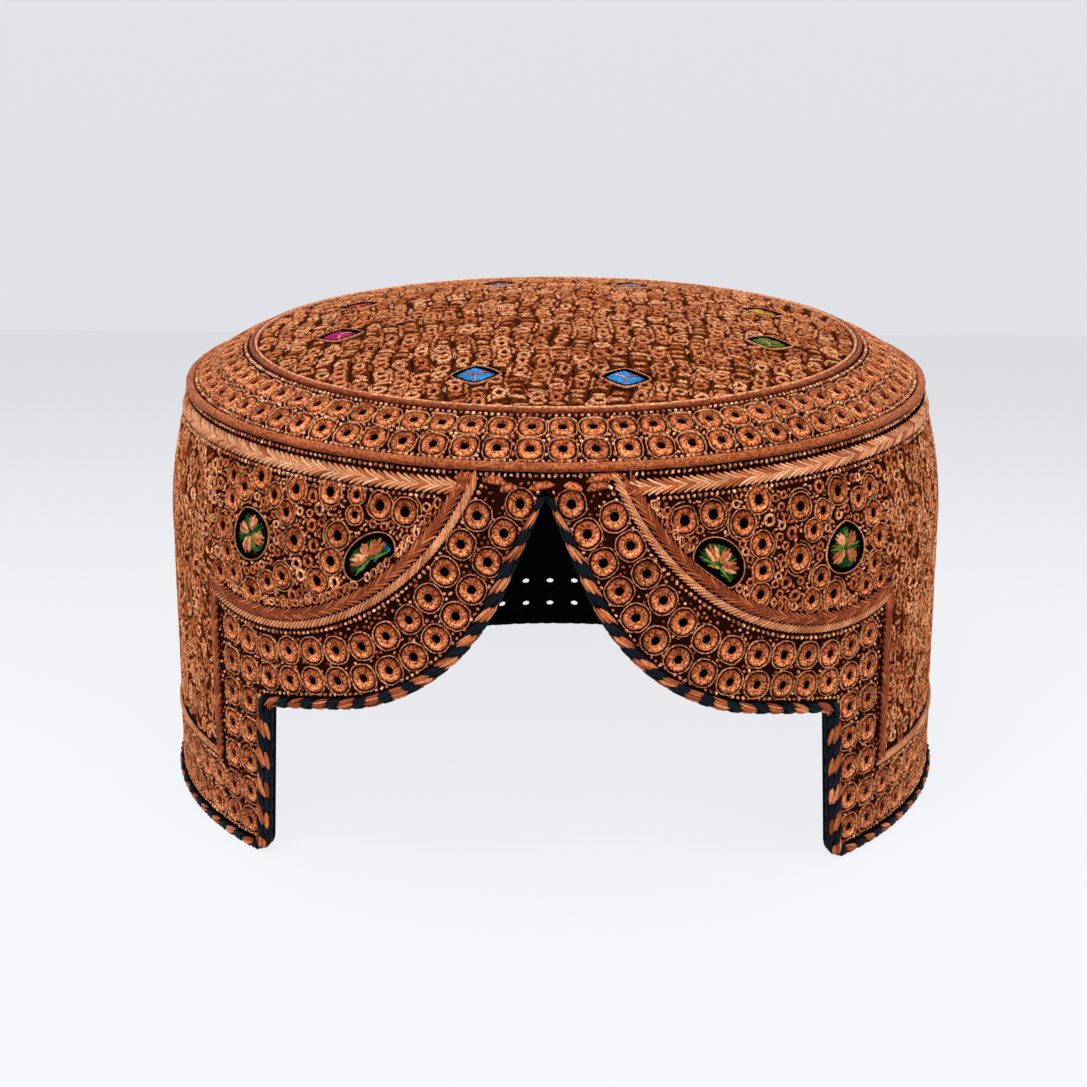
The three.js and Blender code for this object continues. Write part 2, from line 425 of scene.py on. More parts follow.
class PanelFrame:
    """The braid that frames the big panels: over a lobe, down a leg and round the base."""

    centre = np.array([70.9, 115.8])
    radius = 60.0
    top = 93.0
    leg = 87.1
    base = 18.9
    high = 88.9
    under_plait = 90.0
    leg_lap = 1.2

    def lobe(self, inset: float = 0.0) -> Array:
        """Points of the arc over the right lobe, from its top end to the leg."""
        radius = self.radius - inset
        start = math.pi - math.asin((self.top - self.centre[1]) / radius)
        end = 2 * math.pi - math.acos((self.leg - self.centre[0]) / radius)
        return arc_points(self.centre, radius, start, end, 90)

    def in_front(self, points: Array, margin: float, below: float) -> Array:
        """Mask of the points in a front panel, clear of its frame and of the plait above it."""
        across = np.abs(points[:, 0])
        apart = np.hypot(across - self.centre[0], points[:, 1] - self.centre[1])
        below_plait = points[:, 1] < self.under_plait - below
        return (apart < self.radius - margin) & (across < self.leg + self.leg_lap) & below_plait

    def in_side(self, points: Array, margin: float) -> Array:
        """Mask of the points in the long panel round the side and back, clear of its frame."""
        across, height = np.abs(points[:, 0]), points[:, 1]
        low = height > self.base + margin
        return (across > self.leg + margin * 0.4) & low & (height < self.high)

    def outside(self, points: Array, margin: float) -> Array:
        """Mask of the points in the border, clear of the frame by a margin."""
        across, height = np.abs(points[:, 0]), points[:, 1]
        apart = np.hypot(across - self.centre[0], height - self.centre[1])
        in_border = np.where(across < self.leg - margin, apart > self.radius + margin, False)
        return in_border | (height < self.base - margin)


PANEL = PanelFrame()

NO_TRIS = np.zeros((0, 3), int)

SUNK = -0.12
"""Lift of the underside of a thread that is drawn into the cloth."""

THREAD_NUMBERS = 40
"""Span of the numbers that tell threads apart, so that their fibres differ."""

ANY_TURN = 6.28
"""Span of a turn drawn by chance, in radians."""


class ThreadWork:
    """Thread laid on a flat cloth, gathered as arrays until it becomes one mesh."""

    def __init__(self, seed: int) -> None:
        """Starts with no thread and a seeded source of small differences."""
        self.rng = np.random.default_rng(seed)
        self.parts: list[tuple[Array, ...]] = []
        self.count = 0

    def _add(self, points: Array, colours: Array, threads: Array, quads: Array, tris: Array) -> None:
        """Adds points with their colours, thread places and faces."""
        self.parts.append((points, quads + self.count, tris + self.count, colours, threads))
        self.count += len(points)

    def _tints(self, dye: Dyes, count: int) -> Array:
        """Colour of each thread: a dye, or one picked from several, a little lighter or darker."""
        uneven, darkest, lightest = 0.11, 0.65, 1.4
        dyes = [dye] if isinstance(dye, Dye) else list(dye)
        table = np.stack([d.linear() for d in dyes])
        picked = table[self.rng.integers(len(dyes), size=count)]
        return picked * self.rng.normal(1.0, uneven, (count, 1)).clip(darkest, lightest)

    def tubes(
        self,
        paths: Array,
        width: float | Array,
        height: float | Array,
        dye: Dyes,
        section: Section = Section.ROUND,
        closed: bool = False,
        pitch: float = 0.5,
        slant: float = 0.0,
        base: float | Array = SUNK,
        shade: Array | None = None,
    ) -> None:
        """Lays threads along paths, with painted shade at their feet and a painted highlight along their
        crests.

        Args:
            paths: Paths of equal numbers of points, shape (m, k, 2).
            width: Width of the thread, for all or for each point.
            height: Height of the thread above its base.
            dye: Colour, or several to pick from.
            section: Cross section.
            closed: Whether each path joins its own start.
            pitch: Length between the marks of the stitches that the thread shows.
            slant: How many marks the pattern moves on from one side to the other.
            base: Lift of the thread's underside.
            shade: Painted light and shade, how light the thread is at each point, shape (m, k).
        """
        foot_light, crest_light, crest_power = 0.04, 1.1, 1.3
        paths = np.asarray(paths, float)
        m, k = paths.shape[:2]
        light = np.ones((m, k)) if shade is None else shade
        if closed:
            wrap = np.arange(k + 1) % k
            step = (np.roll(paths, -1, 1) - np.roll(paths, 1, 1))[:, wrap]
            paths, light = paths[:, wrap], light[:, wrap]
            k += 1
        else:
            step = np.gradient(paths, axis=1)
        side = left_of(step / np.maximum(np.linalg.norm(step, axis=2, keepdims=True), TINY))
        shape = np.array(section.value, float)
        n = len(shape)
        half = np.broadcast_to(np.asarray(width, float) / 2, (m, k))[..., None, None]
        tall = np.broadcast_to(np.asarray(height, float), (m, k))[..., None]
        low = np.broadcast_to(np.asarray(base, float), (m, k))[..., None]
        flat = paths[:, :, None, :] + side[:, :, None, :] * half * shape[:, 0][:, None]
        lift = low + tall * shape[:, 1]
        points = np.concatenate([flat, lift[..., None]], axis=3).reshape(-1, 3)
        gaps = np.linalg.norm(np.diff(paths, axis=1), axis=2)
        along = np.concatenate([np.zeros((m, 1)), np.cumsum(gaps, axis=1)], axis=1)
        if closed:
            whole = np.maximum(np.round(along[:, -1:] / pitch), 1)
            along = along / along[:, -1:] * whole * pitch
        seed = self.rng.uniform(0, THREAD_NUMBERS, (m, 1, 1))
        across = np.broadcast_to(shape[:, 0], (m, k, n))
        phase = along[..., None] / pitch + across * slant
        threads = np.stack([phase, across, np.broadcast_to(seed, (m, k, n))], axis=3).reshape(-1, 3)
        # Painted shade and highlight: the colour falls to nearly black at a thread's feet and rises above
        # its dye on its crest.
        rise = np.broadcast_to(shape[:, 1], (m, k, n)) ** crest_power
        painted_relief_shade = light[..., None] * (foot_light + crest_light * rise)
        colours = (self._tints(dye, m)[:, None, None, :] * painted_relief_shade[..., None] ** DEEPEN).reshape(-1, 3)
        corner = np.arange(m)[:, None, None] * k * n
        corner = corner + np.arange(k - 1)[:, None] * n + np.arange(n - 1)
        quads = np.stack([corner, corner + n, corner + n + 1, corner + 1], axis=3).reshape(-1, 4)
        self._add(points, colours, threads, quads, NO_TRIS)

    def grains(
        self,
        starts: Array,
        ends: Array,
        width: float,
        height: float,
        dye: Dyes,
        base: float = SUNK,
        bow: float = 0.0,
        section: Section = Section.ROUND,
        blunt: float = 0.33,
    ) -> None:
        """Lays single stitches, thick in the middle and drawn into the cloth at both ends.

        Args:
            starts: First ends, shape (m, 2).
            ends: Second ends, shape (m, 2).
            width: Width in the middle.
            height: Height in the middle.
            dye: Colour, or several to pick from.
            base: Lift of the underside.
            bow: Sideways bend, as a part of the length.
            section: Cross section.
            blunt: Width at the ends, as a part of the width in the middle.
        """
        if len(starts) == 0:
            return
        t = np.array([0.0, 0.25, 0.7, 1.0])
        way = ends - starts
        paths = starts[:, None, :] + way[:, None, :] * t[:, None]
        paths = paths + left_of(way)[:, None, :] * (bow * np.sin(math.pi * t))[:, None]
        body = np.array([blunt, 1.0, 0.97, blunt * 0.9])
        rise = np.array([blunt * 0.9, 1.0, 0.92, blunt * 0.8])
        self.tubes(paths, width * body, height * rise, dye, section, pitch=0.3, slant=1.2, base=base)

    def knots(self, centres: Array, size: float, height: float, dye: Dyes) -> None:
        """Lays small knots, a little longer one way than the other, with painted shade round their feet and
        a painted highlight on top.

        Args:
            centres: Centres, shape (m, 2).
            size: Mean radius.
            height: Height above the cloth.
            dye: Colour, or several to pick from.
        """
        m, sides, mark = len(centres), 5, 0.4
        if m == 0:
            return
        turn = self.rng.uniform(0, 2 * math.pi, (m, 1))
        angle = angles_round(sides)
        stretch = self.rng.uniform(0.75, 1.35, (m, 1))
        scale = size * self.rng.uniform(0.8, 1.2, (m, 1))
        x, y = scale * stretch * np.cos(angle), scale / stretch * np.sin(angle)
        spread = np.stack([
            x * np.cos(turn) - y * np.sin(turn),
            x * np.sin(turn) + y * np.cos(turn),
        ], axis=2)
        rings = [(1.0, -0.1), (0.8, 0.65)]
        levels = [np.concatenate([
            centres[:, None, :] + spread * reach,
            np.full((m, sides, 1), height * lift),
        ], axis=2) for reach, lift in rings]
        top = np.concatenate([centres, np.full((m, 1), height)], axis=1)[:, None, :]
        points = np.concatenate([*levels, top], axis=1)
        each = 2 * sides + 1
        # Painted shade round each knot's foot and a painted highlight on its top.
        shade = np.concatenate([np.full(sides, 0.1), np.full(sides, 0.85), [1.1]])
        colours = self._tints(dye, m)[:, None, :] * shade[:, None] ** DEEPEN
        threads = np.zeros((m, each, 3))
        threads[..., :2] = (points[..., :2] - centres[:, None, :]) / mark
        threads[..., 2] = self.rng.uniform(0, THREAD_NUMBERS, (m, 1))
        i = np.arange(sides)
        j = (i + 1) % sides
        first = np.arange(m)[:, None, None] * each
        quads = first + np.stack([i, j, j + sides, i + sides], axis=1)
        tris = first + np.stack([i + sides, j + sides, np.full(sides, 2 * sides)], axis=1)
        at_points = (part.reshape(-1, 3) for part in (points, colours, threads))
        self._add(*at_points, quads.reshape(-1, 4), tris.reshape(-1, 3))

    def to_piece(
        self, name: str, surface: Surface, finish: Finish, slot: str, *nodes: str
    ) -> Piece:
        """Bends the work onto a surface and makes it a piece.

        Args:
            name: Name of the piece.
            surface: What the work lies on.
            finish: Finish of the thread.
            slot: Name of a material slot; not used.
            nodes: Solids that the piece stands for.

        Returns:
            The new object.
        """
        points, *others = (np.concatenate(part) for part in zip(*self.parts))
        return settle(mesh_piece(name, surface.place(points), *others, finish), slot, *nodes)


def in_scene(name: str, data: bpy.types.ID) -> Piece:
    """Makes an object of its data and links it to the scene."""
    made = bpy.data.objects.new(name, data)
    bpy.context.scene.collection.objects.link(made)
    return made


def mesh_piece(
    name: str, points: Array, quads: Array, tris: Array,
    colours: Array | None, threads: Array, finish: Finish,
) -> Piece:
    """Makes a smooth mesh object from arrays.

    Args:
        name: Name of the object.
        points: Vertices in metres, shape (n, 3).
        quads: Four-sided faces, shape (q, 4).
        tris: Three-sided faces, shape (t, 3).
        colours: Linear colour of each vertex, its dye with painted shade and highlights in it, or None.
        threads: Place of each vertex along and across its thread, and the thread's own number.
        finish: How the piece looks.

    Returns:
        The new object, linked to the scene.
    """
    mesh = bpy.data.meshes.new(name)
    corners = np.concatenate([quads.ravel(), tris.ravel()]).astype(np.int32)
    starts = np.concatenate([np.arange(len(quads)) * 4, len(quads) * 4 + np.arange(len(tris)) * 3])
    mesh.vertices.add(len(points))
    mesh.vertices.foreach_set("co", np.ascontiguousarray(points, np.float32).ravel())
    mesh.loops.add(len(corners))
    mesh.loops.foreach_set("vertex_index", corners)
    mesh.polygons.add(len(starts))
    mesh.polygons.foreach_set("loop_start", starts.astype(np.int32))
    mesh.polygons.foreach_set("use_smooth", np.ones(len(starts), bool))
    if colours is not None:
        # The "dye" attribute holds each vertex's dye with its painted shade and painted highlights
        # multiplied in.
        dye = mesh.attributes.new("dye", "FLOAT_COLOR", "POINT")
        rgba = np.concatenate([colours, np.ones((len(colours), 1))], axis=1)
        dye.data.foreach_set("color", rgba.astype(np.float32).ravel())
    thread = mesh.attributes.new("thread", "FLOAT_VECTOR", "POINT")
    thread.data.foreach_set("vector", np.ascontiguousarray(threads, np.float32).ravel())
    mesh.update(calc_edges=True)
    mesh.validate()
    mesh.materials.append(finish.material())
    return in_scene(name, mesh)


def settle(piece: Piece, slot: str, *nodes: str) -> Piece:
    """Rides a piece on the cap's body and hides the solids that it stands for."""
    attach(piece, BODY)
    if nodes:
        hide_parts(*nodes)
    return piece


# Finishes

class NodeSheet:
    """Small helper that adds nodes to a tree and joins them."""

    def __init__(self, tree: Tree) -> None:
        """Takes the tree to add to."""
        self.tree = tree

    def add(self, kind: str, **settings: object) -> bpy.types.Node:
        """Adds a node of a kind, with its settings."""
        node = self.tree.nodes.new(kind)
        for name, value in settings.items():
            setattr(node, name, value)
        return node

    def join(self, source: Socket, target: Socket) -> None:
        """Links an output to an input."""
        self.tree.links.new(source, target)

    def math(self, operation: str, *values: object) -> Socket:
        """Adds a math node.

        Args:
            operation: What it does.
            values: Numbers or sockets that it takes.

        Returns:
            Its output.
        """
        node = self.add("ShaderNodeMath", operation=operation)
        for i, value in enumerate(values):
            if isinstance(value, Socket):
                self.join(value, node.inputs[i])
            else:
                node.inputs[i].default_value = value
        return node.outputs[0]

    def scaled(self, colour: Socket, factor: Socket) -> Socket:
        """Multiplies a colour by a value, and gives its output."""
        node = self.add("ShaderNodeVectorMath", operation="SCALE")
        self.join(colour, node.inputs[0])
        self.join(factor, node.inputs["Scale"])
        return node.outputs[0]

    def noise(self, place: Socket, scale: float, detail: float) -> Socket:
        """Adds a noise texture that is read at a place, and gives its value."""
        node = self.add("ShaderNodeTexNoise")
        node.inputs["Scale"].default_value = scale
        node.inputs["Detail"].default_value = detail
        self.join(place, node.inputs["Vector"])
        return node.outputs[0]

    def ramp(
        self, value: Socket, before: Sequence[float], after: Sequence[float], kind: str
    ) -> Socket:
        """Takes a value from the range before to the range after, and gives it."""
        node = self.add("ShaderNodeMapRange", interpolation_type=kind)
        for label, number in zip(("From Min", "From Max", "To Min", "To Max"), (*before, *after)):
            node.inputs[label].default_value = number
        self.join(value, node.inputs["Value"])
        return node.outputs["Result"]


def new_group(name: str, inputs: dict[str, float | tuple[float, ...]]) -> Tree:
    """Makes an empty shader node group that puts out a colour, a roughness and a height.

    Args:
        name: Name of the group.
        inputs: Default of each input, a number or a colour.

    Returns:
        The group, with its input and output nodes.
    """
    colour, number = "NodeSocketColor", "NodeSocketFloat"
    group = bpy.data.node_groups.new(name, "ShaderNodeTree")
    for label, default in inputs.items():
        kind = number if isinstance(default, float) else colour
        socket = group.interface.new_socket(label, in_out="INPUT", socket_type=kind)
        socket.default_value = default
    for label, kind in (("Colour", colour), ("Roughness", number), ("Height", number)):
        group.interface.new_socket(label, in_out="OUTPUT", socket_type=kind)
    group.nodes.new("NodeGroupInput")
    group.nodes.new("NodeGroupOutput")
    return group


def thread_fibre() -> Tree:
    """Group that gives a laid thread its stitch marks and fibres, in relief and as painted shade where they
    run low, and its uneven dye.
    """
    name = "thread_fibre"
    if name in bpy.data.node_groups:
        return bpy.data.node_groups[name]
    inputs = {"Mark Depth": 0.3, "Fibre Depth": 0.3, "Speck Depth": 1.0, "Roughness": 0.5}
    group = new_group(name, inputs)
    sheet = NodeSheet(group)
    given = group.nodes["Group Input"].outputs
    made = group.nodes["Group Output"].inputs
    # The "dye" attribute holds the dye with its painted shade and highlights already multiplied in.
    dye = sheet.add("ShaderNodeAttribute", attribute_name="dye")
    thread = sheet.add("ShaderNodeAttribute", attribute_name="thread").outputs["Vector"]
    place = sheet.add("ShaderNodeNewGeometry").outputs["Position"]
    parts = sheet.add("ShaderNodeSeparateXYZ")
    sheet.join(thread, parts.inputs[0])
    mark = sheet.math("SINE", sheet.math("MULTIPLY", parts.outputs[0], math.pi))
    mark = sheet.math("SQRT", sheet.math("ABSOLUTE", mark))
    fibre = sheet.noise(thread, scale=1.6, detail=3.0)
    cloud = sheet.noise(place, scale=110.0, detail=2.0)
    specks = sheet.noise(place, scale=1700.0, detail=2.0)
    shade = sheet.ramp(specks, before=(0.38, 0.6), after=(-0.68, 0.32), kind="LINEAR")
    marks = sheet.math("MULTIPLY", mark, given["Mark Depth"])
    fibres = sheet.math("MULTIPLY", fibre, given["Fibre Depth"])
    height = sheet.math("ADD", marks, fibres)
    depths = sheet.math("ADD", given["Mark Depth"], given["Fibre Depth"])
    height_mean = sheet.math("MULTIPLY", depths, 0.5)
    spread = sheet.math("SUBTRACT", 1.0, height_mean)
    # Painted shade: the colour is darkened along the stitch marks and the low parts of the fibres, beside
    # their relief.
    light = sheet.math("ADD", height, spread)
    light = sheet.math("MULTIPLY", light, sheet.math("MULTIPLY_ADD", cloud, 0.7, 0.65))
    specked = sheet.math("MULTIPLY_ADD", shade, given["Speck Depth"], 1.0)
    light = sheet.math("MAXIMUM", sheet.math("MULTIPLY", light, specked), 0.02)
    tone = sheet.add("ShaderNodeCombineXYZ")
    for i, power in enumerate(DEEPEN):
        sheet.join(sheet.math("POWER", light, float(power)), tone.inputs[i])
    mixed = sheet.add("ShaderNodeVectorMath", operation="MULTIPLY")
    sheet.join(dye.outputs["Color"], mixed.inputs[0])
    sheet.join(tone.outputs[0], mixed.inputs[1])
    sheet.join(mixed.outputs[0], made["Colour"])
    rough = sheet.math("MULTIPLY_ADD", fibre, 0.25, -0.12)
    sheet.join(sheet.math("ADD", rough, given["Roughness"]), made["Roughness"])
    sheet.join(height, made["Height"])
    return group


def plain_weave() -> Tree:
    """Group that gives a cloth its crossing threads, in relief and as painted shade where they dip, from
    flat places in millimetres.
    """
    name = "plain_weave"
    if name in bpy.data.node_groups:
        return bpy.data.node_groups[name]
    inputs = {"Colour": (0.01, 0.01, 0.01, 1.0), "Pitch": 0.5, "Roughness": 0.8}
    group = new_group(name, inputs)
    sheet = NodeSheet(group)
    given = group.nodes["Group Input"].outputs
    made = group.nodes["Group Output"].inputs
    thread = sheet.add("ShaderNodeAttribute", attribute_name="thread").outputs["Vector"]
    parts = sheet.add("ShaderNodeSeparateXYZ")
    sheet.join(thread, parts.inputs[0])
    turn = sheet.math("DIVIDE", math.pi, given["Pitch"])
    warp = sheet.math("SINE", sheet.math("MULTIPLY", parts.outputs[0], turn))
    weft = sheet.math("SINE", sheet.math("MULTIPLY", parts.outputs[1], turn))
    over = sheet.math("MULTIPLY", warp, weft)
    height = sheet.math("MULTIPLY_ADD", over, 0.5, 0.5)
    fluff = sheet.noise(thread, scale=2.2, detail=4.0)
    # Painted shade: the cloth is darker where its woven threads dip.
    light = sheet.math("MULTIPLY_ADD", height, 0.5, 0.55)
    light = sheet.math("MULTIPLY", light, sheet.math("MULTIPLY_ADD", fluff, 1.0, 0.5))
    sheet.join(sheet.scaled(given["Colour"], light), made["Colour"])
    rough = sheet.math("MULTIPLY_ADD", fluff, 0.2, -0.1)
    sheet.join(sheet.math("ADD", rough, given["Roughness"]), made["Roughness"])
    sheet.join(sheet.math("ADD", height, sheet.math("MULTIPLY", fluff, 0.4)), made["Height"])
    return group


def group_material(
    name: str, group: Tree, values: dict[str, object], shine: float, relief: float
) -> Material:
    """Makes a material from a group that gives colour, roughness and height.

    Args:
        name: Name of the material.
        group: The node group.
        values: Values of the group's inputs.
        shine: How much the surface shines.
        relief: Height of the relief, in millimetres.

    Returns:
        The material.
    """
    if name in bpy.data.materials:
        return bpy.data.materials[name]
    material = bpy.data.materials.new(name)
    material.use_nodes = True
    sheet = NodeSheet(material.node_tree)
    bsdf = material.node_tree.nodes["Principled BSDF"]
    effect = sheet.add("ShaderNodeGroup", node_tree=group)
    for label, value in values.items():
        effect.inputs[label].default_value = value
    bump = sheet.add("ShaderNodeBump")
    bump.inputs["Strength"].default_value = 1.0
    bump.inputs["Distance"].default_value = relief * MM
    sheet.join(effect.outputs["Height"], bump.inputs["Height"])
    sheet.join(effect.outputs["Colour"], bsdf.inputs["Base Color"])
    sheet.join(effect.outputs["Roughness"], bsdf.inputs["Roughness"])
    sheet.join(bump.outputs["Normal"], bsdf.inputs["Normal"])
    bsdf.inputs["Specular IOR Level"].default_value = shine
    return material


@dataclass(frozen=True)
class ThreadFinish:
    """Finish of stitched thread, coloured by its own dye with its painted shade and highlights."""

    name: str
    mark_depth: float = 0.3
    fibre_depth: float = 0.9
    roughness: float = 0.55
    relief: float = 0.12
    speck_depth: float = 1.0
    shine: float = 0.12

    def material(self) -> Material:
        """The thread's material."""
        values = {
            "Mark Depth": self.mark_depth,
            "Fibre Depth": self.fibre_depth,
            "Speck Depth": self.speck_depth,
            "Roughness": self.roughness,
        }
        return group_material(self.name, thread_fibre(), values, self.shine, self.relief)


@dataclass(frozen=True)
class ClothFinish:
    """Finish of plain woven cotton."""

    name: str
    dye: Dye
    pitch: float = 0.45
    roughness: float = 0.85
    relief: float = 0.06
    shine: float = 0.04

    def material(self) -> Material:
        """The cloth's material."""
        colour = (*self.dye.linear(), 1.0)
        values = {"Colour": colour, "Pitch": self.pitch, "Roughness": self.roughness}
        return group_material(self.name, plain_weave(), values, self.shine, self.relief)


SILK = ThreadFinish("silk_thread", shine=0.0)
SATIN = ThreadFinish("satin_thread", mark_depth=0.65, roughness=0.5, shine=0.03)
TWIST = ThreadFinish(
    "bundled_thread", mark_depth=0.0, fibre_depth=1.5, roughness=0.5, speck_depth=0.7, shine=0.05
)
BRAID = ThreadFinish(
    "braided_thread", mark_depth=0.1, fibre_depth=1.2, roughness=0.5, speck_depth=0.3, shine=0.04
)
PANE = ThreadFinish("window_thread", mark_depth=0.5, fibre_depth=1.3, speck_depth=0.6, shine=0.0)
GROUND = ClothFinish("dark_ground_cloth", Dye.EARTH)
COTTON = ClothFinish("black_cotton_lining", Dye.BLACK, pitch=0.6)
TAPE = ClothFinish("black_tape", Dye.BLACK, pitch=0.4)


# Eyelets and windows

COPPERS = (Dye.COPPER, Dye.COPPER, Dye.LIGHT_COPPER)
FILLS = (Dye.COPPER, Dye.BRIGHT_COPPER, Dye.BRIGHT_COPPER, Dye.LIGHT_COPPER)
DOTS = (Dye.COPPER, Dye.LIGHT_COPPER, Dye.LIGHT_COPPER, Dye.CREAM)
DIM_DOTS = (Dye.COPPER, Dye.RUST, Dye.RUST, Dye.LIGHT_COPPER)
ROPES = (Dye.LIGHT_COPPER, Dye.LIGHT_COPPER, Dye.BRIGHT_COPPER)
RUSTS = (Dye.RUST, Dye.RUST, Dye.COPPER)


@dataclass(frozen=True)
class Eyelets:
    """A set of worked eyelets: centres, how each is turned, its squareness and its size."""

    centres: Array
    turns: Array
    square: Array
    sizes: Array
    hole: float = 1.25
    lip: float = 1.22
    lip_width: float = 0.5
    lip_height: float = 0.7
    body: float = 1.85
    body_width: float = 1.72
    body_height: float = 0.68
    outline: float = 3.1
    cord_width: float = 0.4
    cord_height: float = 0.6
    # Strength of the painted sheen on lip and ring.
    sheen: float = 0.42

    @staticmethod
    def even(centres: Array, turns: Array, square: float, size: float = 1.0) -> "Eyelets":
        """Eyelets that are all as square and as large."""
        count = len(centres)
        return Eyelets(centres, turns, np.full(count, square), np.full(count, size))

    @staticmethod
    def joined(sets: Sequence["Eyelets"]) -> "Eyelets":
        """One set of several."""
        parts = ("centres", "turns", "square", "sizes")
        return Eyelets(*(np.concatenate([getattr(s, part) for s in sets]) for part in parts))

    def rings(self, radius: float, count: int, squaring: float, wobble: Array) -> Array:
        """Closed paths round each centre.

        Args:
            radius: Mean radius at size one.
            count: Number of points.
            squaring: How much of the squareness shows, from 0 to 1.
            wobble: Uneven radius, shape (m, count).

        Returns:
            The paths, shape (m, count, 2).
        """
        angle = angles_round(count)
        power = 2 + (self.square[:, None] - 2) * squaring
        shape = (np.abs(np.cos(angle)) ** power + np.abs(np.sin(angle)) ** power) ** (-1 / power)
        reach = radius * self.sizes[:, None] * shape * wobble
        return self.centres[:, None, :] + reach[..., None] * ways_at(angle + self.turns[:, None])

    def stitch_small(self, work: ThreadWork) -> None:
        """Works small blind eyelets: one plump ring each."""
        m, sides = len(self.centres), 10
        radius, width, height = 2.2, 1.75, 0.6
        wobble = work.rng.normal(1.0, 0.07, (m, sides))
        paths = self.rings(radius, sides, 0.6, wobble)
        work.tubes(paths, width * self.sizes[:, None], height, COPPERS, closed=True, slant=0.5)

    def stitch(self, work: ThreadWork) -> None:
        """Works the eyelets: a lip round each hole, a satin ring and a thin cord round the ring; lip and
        ring carry a painted sheen.

        Args:
            work: The thread work to add to.
        """
        m, sides = len(self.centres), 16
        size = self.sizes[:, None]
        wobble = work.rng.normal(1.0, 0.02, (m, sides))
        angle = angles_round(sides) + self.turns[:, None]
        # Painted sheen: lip and ring are lighter on their side towards flat -y (down the wall, to the front
        # on the crown) and darker on the other side, a little unevenly.
        sheen = 1.0 - self.sheen * np.sin(angle) + work.rng.normal(0, 0.1, (m, sides))
        lip = self.rings(self.lip, sides, 0.4, wobble)
        width, height = self.lip_width * size, self.lip_height * size
        work.tubes(lip, width, height, Dye.COPPER, closed=True, slant=0.5, shade=sheen)
        body = self.rings(self.body, sides, 0.8, wobble)
        width, height = self.body_width * size, self.body_height * size
        work.tubes(
            body, width, height, Dye.COPPER, Section.FULL, closed=True, pitch=0.75, slant=0.3, shade=sheen
        )
        loose = work.rng.normal(1.0, 0.022, (m, sides + 4))
        cord = self.rings(self.outline, sides + 4, 1.0, loose)
        width, height = self.cord_width, self.cord_height
        work.tubes(cord, width, height, Dye.BRIGHT_COPPER, Section.RIDGE, closed=True, slant=0.5)


class WindowShape(Enum):
    """Outlines of the coloured windows."""

    TEARDROP = "teardrop"
    HALF_LEAF = "half leaf"
    DIAMOND = "diamond"


class WindowFill(Enum):
    """Ways of filling a window."""

    SATIN = "satin with veins"
    PETALS = "petals and a cross"


